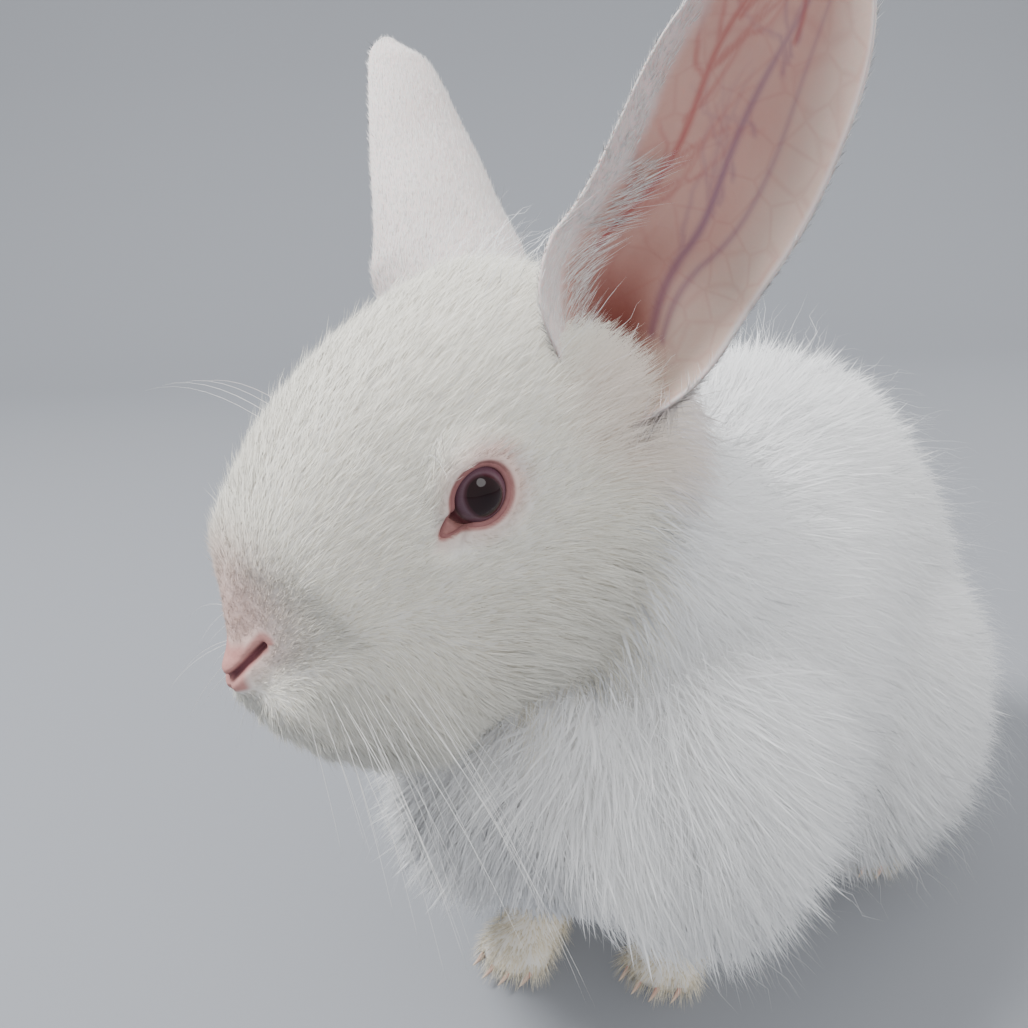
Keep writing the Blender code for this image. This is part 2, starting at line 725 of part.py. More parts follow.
def hull_of(obj, name, grow):
    """The convex outline of a piece, grown a little, to clear a place for it."""
    made = bpy.data.objects.new(name, bpy.data.meshes.new(name))
    bpy.context.scene.collection.objects.link(made)
    work = bmesh.new()
    for vert in obj.data.vertices:
        work.verts.new(vert.co)
    hull = bmesh.ops.convex_hull(work, input=work.verts)
    spare = hull["geom_interior"] + hull["geom_unused"]
    inside = {g for g in spare if isinstance(g, bmesh.types.BMVert)}
    bmesh.ops.delete(work, geom=list(inside), context="VERTS")
    centre = sum((v.co for v in work.verts), Vector()) / len(work.verts)
    for vert in work.verts:
        vert.co += (vert.co - centre).normalized() * grow
    bmesh.ops.recalc_face_normals(work, faces=work.faces)
    work.to_mesh(made.data)
    work.free()
    return made


def centre_on_floor(objects):
    """Moves the whole model so that its box stands on the origin."""
    corners = np.array([o.matrix_world @ v.co for o in objects for v in o.data.vertices])
    low, high = corners.min(0), corners.max(0)
    shift = Vector((-(low[0] + high[0]) / 2, -(low[1] + high[1]) / 2, -low[2]))
    for obj in objects:
        obj.data.transform(Matrix.Translation(shift))


def main():
    for obj in list(bpy.data.objects):
        bpy.data.objects.remove(obj)
    skull = head_loft("skull", GAP / MM)
    nodes = {"head": head()}
    nodes["ear_left"] = ear("ear_left", 1, EAR_LEFT_LEAN, skull)
    nodes["ear_right"] = ear("ear_right", -1, EAR_RIGHT_LEAN, skull)
    delete([skull])
    nodes["eye_left"] = eye("eye_left", 1)
    nodes["eye_right"] = eye("eye_right", -1)

    body = woolly_body()
    head_at, head_way = HEAD_CUT
    neck_point, neck_way = NECK_CUT
    ahead, behind = Vector((0, -1, 0)), Vector((0, 1, 0))
    chest_at = Vector((0, CHEST_CUT_Y, 0))
    nodes["neck"] = part_off(body, "neck", (head_at, -head_way), (neck_point, neck_way))
    nodes["chest"] = part_off(body, "chest", (neck_point, -neck_way), (chest_at, ahead))
    minus(nodes["chest"], head_loft("head_room", 2 * GAP / MM))
    for hair in cheek_locks():
        minus(nodes["chest"], hull_of(hair, "hair_room", 2 * GAP))
        delete([hair])
    rear = part_off(body, "rear", (neck_point, -neck_way), (chest_at, behind))
    delete([body])
    nodes["tail"] = tail()
    for side, word in ((1, "left"), (-1, "right")):
        edge = Vector((side * HAUNCH_CUT_X, 0, 0))
        away = Vector((side, 0, 0))
        haunch = part_off(rear, "haunch", (edge, away))
        nodes["hindleg_" + word] = union("hindleg_" + word, [haunch] + hind_foot(side))
        nodes["foreleg_" + word] = foreleg("foreleg_" + word, side)
        minus(nodes["chest"], foreleg("clear", side, GAP / MM))
    edges = [(Vector((side * HAUNCH_CUT_X, 0, 0)), Vector((-side, 0, 0))) for side in (1, -1)]
    nodes["torso"] = part_off(rear, "torso", *edges)
    delete([rear])
    minus(nodes["torso"], hull_of(nodes["tail"], "tail_room", 2 * GAP))

    wool = paint("white_wool", (0.86, 0.85, 0.83), 0.9)
    short = paint("short_coat", (0.87, 0.85, 0.80), 0.75)
    pink = paint("ear_skin", (0.85, 0.66, 0.62), 0.6)
    ruby = paint("ruby_eye", (0.22, 0.03, 0.04), 0.1)
    looks = {"ear": pink, "eye": ruby, "head": short, "foreleg": short}
    floor = beyond(Vector((0, 0, -GAP / 2)), Vector((0, 0, 1)))
    for name, obj in nodes.items():
        obj.name = name
        obj.data.name = name
        if name.startswith("hindleg"):
            apply_boolean(obj, "INTERSECT", floor)
            largest_only(obj)
        obj.data.materials.clear()
        obj.data.materials.append(looks.get(name.split("_")[0], wool))
        obj.data.shade_smooth()
        obj.data.set_sharp_from_angle(angle=math.radians(50))
    delete([floor])
    centre_on_floor(list(nodes.values()))


main()
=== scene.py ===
"""The looks of a still, life-size angora rabbit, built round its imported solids.

Sizes in the functions below are millimetres in the rabbit's own frame: it faces -Y, its left is
+X and the floor is at Z 0. Meshes are written in metres, moved to where the solids stand.
"""

import math

import bmesh
import bpy
import numpy as np
from bpy.props import FloatProperty, FloatVectorProperty, IntProperty, PointerProperty
from mathutils import Matrix, Vector
from mathutils.bvhtree import BVHTree
from mathutils.kdtree import KDTree


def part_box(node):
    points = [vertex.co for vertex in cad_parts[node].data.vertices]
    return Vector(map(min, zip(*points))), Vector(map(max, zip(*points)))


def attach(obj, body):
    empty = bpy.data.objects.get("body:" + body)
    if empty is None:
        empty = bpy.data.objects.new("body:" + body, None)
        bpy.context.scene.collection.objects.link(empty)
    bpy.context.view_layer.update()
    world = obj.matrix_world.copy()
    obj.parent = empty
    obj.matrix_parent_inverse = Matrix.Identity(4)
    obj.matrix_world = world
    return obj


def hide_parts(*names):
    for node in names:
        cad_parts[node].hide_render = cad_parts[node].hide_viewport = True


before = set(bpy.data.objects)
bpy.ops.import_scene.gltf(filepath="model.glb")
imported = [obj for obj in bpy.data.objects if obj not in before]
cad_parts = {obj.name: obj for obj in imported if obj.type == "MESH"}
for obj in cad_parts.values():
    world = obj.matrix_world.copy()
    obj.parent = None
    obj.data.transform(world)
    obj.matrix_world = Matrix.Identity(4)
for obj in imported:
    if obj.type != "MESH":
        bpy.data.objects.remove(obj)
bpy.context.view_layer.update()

bl_info = {
    "name": "Angora rabbit",
    "version": (1, 0, 0),
    "blender": (4, 5, 0),
    "location": "3D View > Sidebar > Rabbit",
    "description": "Skin, wool, short fur, ears, eyes and whiskers of a still angora rabbit",
    "category": "Object",
}

MM = 0.001

# The head's own frame: S runs to the nose, B to the left and T up.
HEAD_CENTRE = np.array((-20.0, -117.0, 190.0))
HEAD_TURN, HEAD_PITCH, HEAD_ROLL = math.radians(-16), math.radians(33), math.radians(-2)
# Place along S, then the height of the top, bottom and widest line, and the half width.
HEAD_STATIONS = (
    (-68, 21, -44, -16, 31),
    (-54, 32, -54, -17, 37),
    (-34, 40, -61, -19, 43),
    (-12, 44, -65, -20, 45),
    (8, 45, -66, -19, 43),
    (26, 43, -66, -18, 39.5),
    (42, 38, -64, -17, 35.5),
    (55, 31.5, -60, -15, 32),
    (66, 24, -54, -14, 28),
    (81, 13, -47, -12, 23),
)
MUZZLE_ROUND_FROM, MUZZLE_END = 50, 80
NAPE_ROUND_FROM, NAPE_END = -36, -70
# The eye's place in the head, the iris's radius, how far it looks ahead and up, and the eyeball's.
EYE_PLACE = (7.5, 32.5, 6.5)
EYE_RADIUS = 7.4
EYE_FORWARD, EYE_UP = 0.16, 0.12
EYEBALL_RADIUS = 8.8
# Half the opening between the lids, and how far and which way its corner runs to the nose.
LID_HALF = (7.6, 6.9)
# How far each side's whiskers hang and sweep forward, and the length of the foremost.
WHISKER_DROOP, WHISKER_SWEEP = {1: 1.4, -1: 0.3}, {1: -0.1, -1: 0.35}
WHISKER_LENGTH = {1: 58, -1: 34}
LID_POINT, LID_CORNER = 5.6, math.radians(-11)
NOSE_PLACE = (76.5, 0, 1)
# The height of the nostrils' middle, and how far the nose's flanks fall back beside its ridge.
NOSTRIL_UP, NOSE_FALL = 4.0, 3.0

# The ears: their sizes, how far the cup is turned near its root, where the root stands in the head,
# how far each leans out and back, and the way its cup opens.
EAR_LENGTHS, EAR_WIDTH, EAR_THICK = {1: 126, -1: 133}, 50, 2.4
EAR_SWING = math.radians(17)
EAR_ROOT = (-43, 27, -9)
EAR_LEANS = {
    1: (math.radians(35), math.radians(-3)),
    -1: (math.radians(38), math.radians(13)),
}
EAR_FACES = {1: (0.62, -0.75, 0.0), -1: (-0.95, 0.22, 0.0)}

# The body under the wool: place along Y, then top, bottom and half width.
TORSO_STATIONS = (
    (-118, 98, 62, 24),
    (-106, 120, 48, 36),
    (-84, 138, 38, 47),
    (-55, 153, 34, 53),
    (-20, 167, 30, 59),
    (15, 177, 27, 63),
    (45, 180, 26, 65),
    (78, 170, 26, 61),
    (102, 143, 32, 52),
    (120, 100, 44, 34),
)
HAUNCH_CENTRE, HAUNCH_RADII = (42, 43, 66), (40, 57, 58)
SHOULDER_CENTRE, SHOULDER_RADII = (26, -66, 88), (33, 40, 50)
NECK_LINE = ((0, -45, 116, 50), (-5, -64, 148, 44), (-10, -82, 172, 39), (-14, -94, 184, 32))
# How far the fine shape of each ear stands nearer the crown, at its root and its tip.
EAR_IN = {1: (0.0, 3.2), -1: (7.5, 2.5)}
HEAD_CUT = ((-9, -80, 178), (-0.27, -0.93, 0.24))
FORE_PAWS = {1: (23, -56, 0), -1: (-23, -76, 0)}
FORE_TOP = (26, -56, 86)
HIND_FOOT_X, HIND_HEEL_Y, HIND_TOE_Y = 60, 116, 26
TAIL_CENTRE, TAIL_RADII = (0, 128, 60), (20, 15, 24)
FLOOR_CLEAR = 0.6
CLAW_LENGTH, CLAW_RADIUS = 6.5, 1.15
# How wide a hair's patch of the unwrap is.
HAIR_PATCH = 0.003

# How far the skin lies inside the solids: under short fur, and under the core of the wool.
SHORT_DEPTH, WOOL_DEPTH = 3.0, 2.0


def unit(v):
    """Vectors of length one."""
    v = np.asarray(v, float)
    return v / np.maximum(np.linalg.norm(v, axis=-1, keepdims=True), 1e-9)


def ease(low, high, x):
    """0 at low, 1 at high, smooth between them."""
    t = np.clip((np.asarray(x, float) - low) / (high - low), 0, 1)
    return t * t * (3 - 2 * t)


def turn_about(axis, angle):
    """A turn about one of the rabbit's axes."""
    return np.array(Matrix.Rotation(angle, 3, axis))


HEAD_TURNED = turn_about("Z", HEAD_TURN) @ turn_about("X", HEAD_PITCH) @ turn_about("Y", HEAD_ROLL)
S_WAY, B_WAY, T_WAY = (HEAD_TURNED @ np.array(v, float) for v in ((0, -1, 0), (1, 0, 0), (0, 0, 1)))


def head_place(s, b, t):
    """A place along the head's own directions."""
    s, b, t = (np.asarray(x, float)[..., None] for x in (s, b, t))
    return HEAD_CENTRE + s * S_WAY + b * B_WAY + t * T_WAY


def in_head(p):
    """A place's distances along the head's own directions."""
    d = p - HEAD_CENTRE
    return d @ S_WAY, d @ B_WAY, d @ T_WAY


def eye_frame(side):
    """An eye's middle, the way it looks, its own across and up, and the way to the nose."""
    s, b, t = EYE_PLACE
    out = unit(side * B_WAY + EYE_FORWARD * S_WAY + EYE_UP * T_WAY)
    up, fore = (unit(way - (way @ out) * out) for way in (T_WAY, S_WAY))
    return head_place(s, side * b, t), out, unit(np.cross(up, out)), up, fore


def solids_shift():
    """From the rabbit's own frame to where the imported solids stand."""
    low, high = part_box("eye_left")
    return (np.array(low) + np.array(high)) / 2 / MM - eye_frame(1)[0]


SHIFT = solids_shift()
SHIFT[2] = 0.0


def between(stations, at):
    """The stations' other columns at a place in their first, on a smooth curve."""
    places = [row[0] for row in stations]
    values = np.array([row[1:] for row in stations], float)
    slopes = np.gradient(values, places, axis=0)
    i = min(max(int(np.searchsorted(places, at)) - 1, 0), len(places) - 2)
    step = places[i + 1] - places[i]
    u = (at - places[i]) / step
    return (
        (2 * u**3 - 3 * u**2 + 1) * values[i]
        + (u**3 - 2 * u**2 + u) * step * slopes[i]
        + (3 * u**2 - 2 * u**3) * values[i + 1]
        + (u**3 - u**2) * step * slopes[i + 1]
    )


def oval(top, bottom, widest, half, sides, power=2.15):
    """(across, up) round an egg-like outline."""
    angle = 2 * np.pi * (np.arange(sides) + 0.5) / sides
    c, s = np.cos(angle), np.sin(angle)
    across = half * np.sign(c) * np.abs(c) ** (2 / power)
    reach = np.where(s > 0, top - widest, widest - bottom)
    return across, widest + reach * np.sign(s) * np.abs(s) ** (2 / power)


def ripple(p, size, seed):
    """A smooth random field of about -1 to 1, with waves of about that size."""
    rng = np.random.default_rng(seed)
    waves = rng.normal(size=(7, 3)) * 2.2 / size
    return np.sin(p @ waves.T + rng.random(7) * 2 * np.pi).sum(1) / 3.5


class Solid:
    """Closed pieces gathered into one list of points and faces: rings joined up, and balls."""

    def __init__(self):
        self.points, self.faces, self.count = [], [], 0

    def add(self, points, faces):
        self.points.append(np.asarray(points, float))
        self.faces += [tuple(i + self.count for i in face) for face in faces]
        self.count += len(points)

    def loft(self, rings):
        n = len(rings[0])
        total = n * len(rings)
        faces = [tuple(range(n - 1, -1, -1)), tuple(range(total - n, total))]
        for i in range(len(rings) - 1):
            for k in range(n):
                a, b = i * n + k, i * n + (k + 1) % n
                faces.append((a, b, b + n, a + n))
        self.add(np.concatenate(rings), faces)

    def ball(self, centre, radii, axes=None, rings=14, sides=20):
        axes = np.eye(3) if axes is None else np.array(axes)
        made = []
        for i in range(rings):
            tilt = np.pi * (i + 0.5) / rings
            spin = 2 * np.pi * np.arange(sides) / sides
            local = np.stack(
                [np.sin(tilt) * np.cos(spin), np.sin(tilt) * np.sin(spin), -np.cos(tilt) + 0 * spin],
                axis=1,
            )
            made.append(np.array(centre) + (local * np.array(radii)) @ axes)
        self.loft(made)


def new_mesh(name, points, faces, smooth=True):
    """An object from points in millimetres in the rabbit's frame."""
    mesh = bpy.data.meshes.new(name)
    points = (np.asarray(points, float) + SHIFT) * MM
    if isinstance(faces, np.ndarray):
        mesh.vertices.add(len(points))
        mesh.vertices.foreach_set("co", points.astype(np.float32).ravel())
        width = faces.shape[1]
        mesh.loops.add(faces.size)
        mesh.loops.foreach_set("vertex_index", faces.astype(np.int32).ravel())
        mesh.polygons.add(len(faces))
        mesh.polygons.foreach_set("loop_start", np.arange(0, faces.size, width, dtype=np.int32))
        mesh.update(calc_edges=True)
    else:
        mesh.from_pydata(points.tolist(), [], faces)
    if smooth:
        mesh.shade_smooth()
    made = bpy.data.objects.new(name, mesh)
    bpy.context.scene.collection.objects.link(made)
    return made


def finish_piece(obj, material, slot, *nodes):
    """Gives a piece its finish, says what it rides on, and hides the solids that it stands for."""
    obj.data.materials.clear()
    obj.data.materials.append(material)
    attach(obj, "root")
    if nodes:
        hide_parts(*nodes)
    return obj


def read(rows, field, width=1, kind=np.float32):
    """One field of a mesh's rows, as an array of that width."""
    held = np.empty(len(rows) * width, kind)
    rows.foreach_get(field, held)
    return held.reshape(-1, width) if width > 1 else held


def places(obj):
    """An object's points in millimetres in the rabbit's frame."""
    return read(obj.data.vertices, "co", 3).astype(float) / MM - SHIFT


def face_outward(obj):
    """Turns a closed piece's faces outward and shades them smoothly."""
    sheet = bmesh.new()
    sheet.from_mesh(obj.data)
    bmesh.ops.recalc_face_normals(sheet, faces=sheet.faces)
    sheet.to_mesh(obj.data)
    sheet.free()
    obj.data.shade_smooth()


def give(obj, name, values):
    """Puts a number on each point of an object for its material to read."""
    held = obj.data.attributes.new(name, "FLOAT", "POINT")
    held.data.foreach_set("value", np.asarray(values, np.float32))


def evaluated(obj):
    """The object's mesh with its modifiers applied."""
    graph = bpy.context.evaluated_depsgraph_get()
    graph.update()
    mesh = bpy.data.meshes.new_from_object(obj.evaluated_get(graph))
    obj.modifiers.clear()
    obj.data = mesh
    return obj


# Materials.


def linear(colour):
    """A linear colour with alpha from an sRGB hex value."""
    parts = [int(colour[i : i + 2], 16) / 255 for i in (1, 3, 5)]
    made = [c / 12.92 if c <= 0.04045 else ((c + 0.055) / 1.055) ** 2.4 for c in parts]
    return (*made, 1.0)


def add(tree, kind, inputs, out=0, **settings):
    """Adds a node with its settings and its inputs: sockets, hex colours or plain values."""
    made = tree.nodes.new("ShaderNode" + kind)
    for name, value in settings.items():
        setattr(made, name, value)
    for name, value in inputs.items():
        if isinstance(value, bpy.types.NodeSocket):
            tree.links.new(value, made.inputs[name])
        else:
            made.inputs[name].default_value = linear(value) if isinstance(value, str) else value
    return made.outputs[out]


def new_material(name, numbers, *held):
    """A Principled material: its tree, its shader's inputs, the object's space and its numbers."""
    made = bpy.data.materials.new(name)
    made.use_nodes = True
    tree = made.node_tree
    shader = tree.nodes["Principled BSDF"].inputs
    for key, value in numbers.items():
        shader[key].default_value = value
    place = add(tree, "TexCoord", {}, "Object")
    found = [add(tree, "Attribute", {}, "Fac", attribute_name=word) for word in held]
    return made, tree, shader, place, found


def paint(tree, shader, colour, bump=None, depth=0.0, strength=0.0):
    """Joins a colour, and a relief that many metres deep, to a material's shader."""
    tree.links.new(colour, shader["Base Color"])
    if bump:
        relief = {"Height": bump, "Strength": strength, "Distance": depth}
        tree.links.new(add(tree, "Bump", relief, "Normal"), shader["Normal"])


def fur_material(name, root, low, high, roughness):
    """Undyed angora hair, as grown.

    A hair of keratin (IOR 1.55) without pigment: soft and matt, white to cream. Towards its root it
    is darker, which is painted shade of the depth of the coat. Its own patches are about 38 mm,
    as locks fall together.
    """
    numbers = {"Roughness": roughness, "IOR": 1.55}
    made, tree, shader, place, held = new_material(name, numbers, "shade", "along", "blush")
    shade, along, blush = held
    patch = {"Vector": place, "Scale": 1 / (38 * MM), "Detail": 3.0}
    uneven = {0: shade, 1: 0.6, 2: add(tree, "TexNoise", patch, "Fac")}
    uneven = add(tree, "Math", uneven, operation="MULTIPLY_ADD", use_clamp=True)
    less = add(tree, "Math", {0: uneven, 1: 0.3}, operation="SUBTRACT", use_clamp=True)
    tone = add(tree, "Mix", {0: less, 6: low, 7: high}, 2, data_type="RGBA")
    # Painted shade: from the middle of its length down to its root the hair darkens to the root colour,
    # as the depth of the coat would shade it.
    rise = {0: along, 1: 0.0, 2: 0.55, 3: 0.0, 4: 1.0}
    rise = add(tree, "MapRange", rise, interpolation_type="SMOOTHSTEP")
    grown = add(tree, "Mix", {0: rise, 6: root, 7: tone}, 2, data_type="RGBA")
    thin = add(tree, "Mix", {0: blush, 6: grown, 7: "#D3A99E"}, 2, data_type="RGBA")
    paint(tree, shader, thin)
    return made


def skin_material():
    """Living skin under hair.

    Matt and softly creased: blood shows pink at lids, nose and lips, and white down hides it
    elsewhere. The nostrils' slits, the split lip and the mouth's line are darkened with painted
    shade, and the lids and their rims are darkened evenly by the same dark colour. The creases
    are about 0.9 mm apart, twice the real ones, so that they show.
    """
    numbers = {"Roughness": 0.75}
    made, tree, shader, place, held = new_material(
        "skin_and_underdown", numbers, "bare", "deep", "blush"
    )
    bare, deep, blush = held
    soft, fine, creases = (
        add(tree, "TexNoise", {"Vector": place, "Scale": 1 / (size * MM), "Detail": detail}, "Fac")
        for size, detail in ((30, 3.0), (2.5, 3.0), (0.9, 2.0))
    )
    down = add(tree, "Mix", {0: soft, 6: "#E6E2DB", 7: "#F3F1EC"}, 2, data_type="RGBA")
    down = add(tree, "Mix", {0: blush, 6: down, 7: "#D9AFA4"}, 2, data_type="RGBA")
    pink = add(tree, "Mix", {0: fine, 6: "#B07A74", 7: "#CE9A92"}, 2, data_type="RGBA")
    # deep: painted shade in the nostrils' slits, the split lip and the mouth's line; on the lids and
    # their rims an even darkening.
    dark = add(tree, "Mix", {0: deep, 6: pink, 7: "#6B3840"}, 2, data_type="RGBA")
    colour = add(tree, "Mix", {0: bare, 6: down, 7: dark}, 2, data_type="RGBA")
    paint(tree, shader, colour, creases, 0.25 * MM, 0.5)
    return made


def ear_material():
    """Thin living ear skin over cartilage.

    White velvet outside. Inside it is bare and light passes into it, so the red and blue vessels
    and a net of fine ones show through. The net's meshes are 9 mm, coarser than the real ones.
    Down in the cup by the canal the skin is darkened with painted shade.
    """
    numbers = {
        "Roughness": 0.6,
        "Subsurface Weight": 0.25,
        "Subsurface Radius": (1.0, 0.35, 0.25),
        "Subsurface Scale": 1.5 * MM,
    }
    names = ("inner", "canal_shade", "red_vein", "blue_vein", "rim")
    made, tree, shader, place, held = new_material("ear_skin_and_velvet", numbers, *names)
    inner, canal_shade, red, blue, rim = held
    wide, broad, creases = (
        add(tree, "TexNoise", {"Vector": place, "Scale": 1 / (size * MM), "Detail": detail}, "Fac")
        for size, detail in ((16, 3.0), (14, 3.0), (1.2, 2.0))
    )
    velvet = add(tree, "Mix", {0: wide, 6: "#E3D2CE", 7: "#EFE7E4"}, 2, data_type="RGBA")
    colour = add(tree, "Mix", {0: broad, 6: "#D0998D", 7: "#DDB2A4"}, 2, data_type="RGBA")
    meshes = {"Vector": place, "Scale": 1 / (9 * MM)}
    net = add(tree, "TexVoronoi", meshes, "Distance", feature="DISTANCE_TO_EDGE")
    net = add(tree, "MapRange", {0: net, 1: 0.0, 2: 0.08, 3: 0.2, 4: 0.0})
    # The last of these, by the canal, is painted shade darkening the depth of the cup.
    for share, over in (
        (rim, "#E6D0C2"), (net, "#BE7A73"), (blue, "#936A80"), (red, "#B44F50"), (canal_shade, "#7E362C")
    ):
        colour = add(tree, "Mix", {0: share, 6: colour, 7: over}, 2, data_type="RGBA")
    colour = add(tree, "Mix", {0: inner, 6: velvet, 7: colour}, 2, data_type="RGBA")
    paint(tree, shader, colour, creases, 0.2 * MM, 0.4)
    return made


def eye_material():
    """A living eye without pigment.

    The cornea (IOR 1.376) is wet and mirrors the lamps sharply. Under it the iris is matt mauve
    with fine rays, and blood makes the pupil a deep ruby.
    """
    numbers = {
        "Roughness": 0.25,
        "Specular IOR Level": 0.0,
        "Coat Weight": 1.0,
        "Coat Roughness": 0.02,
        "Coat IOR": 1.376,
    }
    made, tree, shader, _, (off, spin) = new_material(
        "living_eye_wet_ruby", numbers, "off_axis", "spin"
    )
    rings = add(tree, "ValToRGB", {"Fac": off}, "Color")
    stops = (
        (0.0, "#16060A"),
        (0.66, "#210A0E"),
        (0.72, "#46262F"),
        (0.77, "#6E5661"),
        (0.88, "#5F4350"),
        (0.95, "#3B1B23"),
        (1.0, "#5E3238"),
    )
    band = rings.node.color_ramp
    while len(band.elements) < len(stops):
        band.elements.new(0.5)
    for element, (at, colour) in zip(band.elements, stops):
        element.position, element.color = at, linear(colour)
    rays = {"W": spin, "Scale": 46.0, "Detail": 2.0}
    rays = add(tree, "TexNoise", rays, "Fac", noise_dimensions="1D")
    iris = add(tree, "MapRange", {0: off, 1: 0.68, 2: 0.76, 3: 0.0, 4: 0.55})
    streak = add(tree, "Math", {0: rays, 1: iris}, operation="MULTIPLY")
    colour = add(tree, "Mix", {0: streak, 6: rings, 7: "#3E1722"}, 2, data_type="RGBA")
    paint(tree, shader, colour)
    return made


def claw_material():
    """Horn of a living claw, as grown.

    Half gloss, streaked along its length: pink with blood at its root, pale and clear at its tip.
    """
    made, tree, shader, place, (along,) = new_material("claw_horn_as_grown", {"Roughness": 0.38}, "along")
    long = add(tree, "Mapping", {"Vector": place, "Scale": (1.0, 0.2, 1.0)})
    streak = {"Vector": long, "Scale": 1 / (1.2 * MM), "Detail": 2.0}
    streak = add(tree, "TexNoise", streak, "Fac")
    horn = add(tree, "Mix", {0: streak, 6: "#CFB9A2", 7: "#E4D6C2"}, 2, data_type="RGBA")
    colour = add(tree, "Mix", {0: along, 6: "#C7968A", 7: horn}, 2, data_type="RGBA")
    paint(tree, shader, colour)
    return made


# The skin.


def head_rings(grow, count=40, sides=48):
    """Rings of the head from nape to nose, grown by so many mm."""
    start, end = NAPE_END - grow, MUZZLE_END + grow
    rings = []
    for i in range(count):
        s = start + (end - start) * (1 - math.cos(math.pi * i / (count - 1))) / 2
        s = min(max(s, start + 0.2), end - 0.2)
        top, bottom, widest, half = between(HEAD_STATIONS, s)
        round_off = max(0.0, (s - MUZZLE_ROUND_FROM) / (end - MUZZLE_ROUND_FROM))
        nape_off = max(0.0, (NAPE_ROUND_FROM - s) / (NAPE_ROUND_FROM - start))
        share = math.sqrt(max(0.0, 1 - round_off**2.3 - nape_off**2.4))
        middle = widest - 2 * round_off
        top = middle + (top + grow - middle) * share
        bottom = middle + (bottom - grow - middle) * share
        across, up = oval(top, bottom, middle, (half + grow) * share, sides)
        rings.append(head_place(np.full(sides, s), across, up))
    return rings


def torso_rings(grow, count=30, sides=32):
    """Rings of the body from chest to rump, grown by so many mm."""
    rings = []
    start, end = TORSO_STATIONS[0][0] - grow, TORSO_STATIONS[-1][0] + grow
    for i in range(count):
        y = start + (end - start) * (1 - math.cos(math.pi * i / (count - 1))) / 2
        top, bottom, half = between(TORSO_STATIONS, min(max(y, start - grow), end + grow))
        across, up = oval(top + grow, bottom - grow, (top + bottom * 1.3) / 2.3, half + grow, sides)
        rings.append(np.stack([across, np.full(sides, y), up], axis=1))
    return rings


def tube_rings(line, grow, sides=20):
    """Rings round a line of (x, y, z, radius)."""
    line = np.array(line, float)
    rings = []
    for i, row in enumerate(line):
        way = unit(line[min(i + 1, len(line) - 1), :3] - line[max(i - 1, 0), :3])
        across = unit(np.array((1.0, 0, 0)) - way[0] * way)
        up = np.cross(way, across)
        angle = 2 * np.pi * np.arange(sides)[:, None] / sides
        rings.append(row[:3] + (across * np.cos(angle) + up * np.sin(angle)) * (row[3] + grow))
    return rings


def foreleg_line(side):
    """The foreleg's middle line from elbow to paw, with its radius."""
    paw = np.array(FORE_PAWS[side], float)
    top = np.array((side * FORE_TOP[0], FORE_TOP[1] + (paw[1] + 75) * 0.5, FORE_TOP[2]), float)
    wrist = paw + (0, 12, 20)
    middle = top + (wrist - top) * 0.55
    return [(*top, 15), (*middle, 12.5), (*wrist, 11.5), (*(paw + (0, 4, 9)), 12.5)]


def toes_of(place, spread, reach, toe):
    """The middles of four toes side by side, the middle two furthest forward."""
    return [
        np.array(place, float) + ((k - 1.5) * spread, reach + toe * (k - 1.5) ** 2, 0)
        for k in range(4)
    ]


def body_forms():
    """Every form of the body under its coat, as overlapping closed pieces."""
    body = Solid()
    body.loft(head_rings(-SHORT_DEPTH))
    head_axes = (S_WAY, B_WAY, T_WAY)
    s, _, t = NOSE_PLACE
    for side in (1, -1):
        flip = np.array((side, 1, 1))
        centre, out, across, up, _ = eye_frame(side)
        brow = (EYE_RADIUS + 2.6, EYE_RADIUS + 1.4, EYE_RADIUS + 1.4)
        body.ball(centre - out * 1.5, brow, (across, up, out))
        body.ball(head_place(s - 7, side * 9, t - 13), (8.5, 9, 10), head_axes)
        body.ball(head_place(10, side * 20, -36), (30, 15, 17), head_axes)
        body.ball(HAUNCH_CENTRE * flip, np.array(HAUNCH_RADII) - WOOL_DEPTH)
        body.ball(SHOULDER_CENTRE * flip, np.array(SHOULDER_RADII) - WOOL_DEPTH)
        body.loft(tube_rings(foreleg_line(side), -3.0))
        paw = np.array(FORE_PAWS[side], float)
        body.ball(paw + (0, -2, 9), (11, 14.5, 9))
        for toe in toes_of(paw + (0, 0, 6.4), 6.4, -15, 1.6):
            body.ball(toe, (3.6, 7.2, 5.2), rings=10, sides=12)
        middle, half = (HIND_HEEL_Y + HIND_TOE_Y) / 2, (HIND_HEEL_Y - HIND_TOE_Y) / 2
        body.ball((side * HIND_FOOT_X, middle, 11), (10.5, half - 2, 10.5))
        body.ball((side * HIND_FOOT_X, HIND_HEEL_Y - 22, 30), (10, 22, 22))
        for toe in toes_of((side * HIND_FOOT_X, HIND_TOE_Y, 6), 5.6, 4, 1.4):
            body.ball(toe, (3.4, 10, 5.2), rings=10, sides=12)
    body.ball(head_place(s - 3, 0, t - 1), (6, 8.5, 6), head_axes)
    body.ball(head_place(s - 16, 0, t - 31), (15, 13, 10), head_axes)
    body.loft(tube_rings(NECK_LINE, -WOOL_DEPTH))
    body.loft(torso_rings(-WOOL_DEPTH))
    body.ball(TAIL_CENTRE, np.array(TAIL_RADII) - 3)
    return body


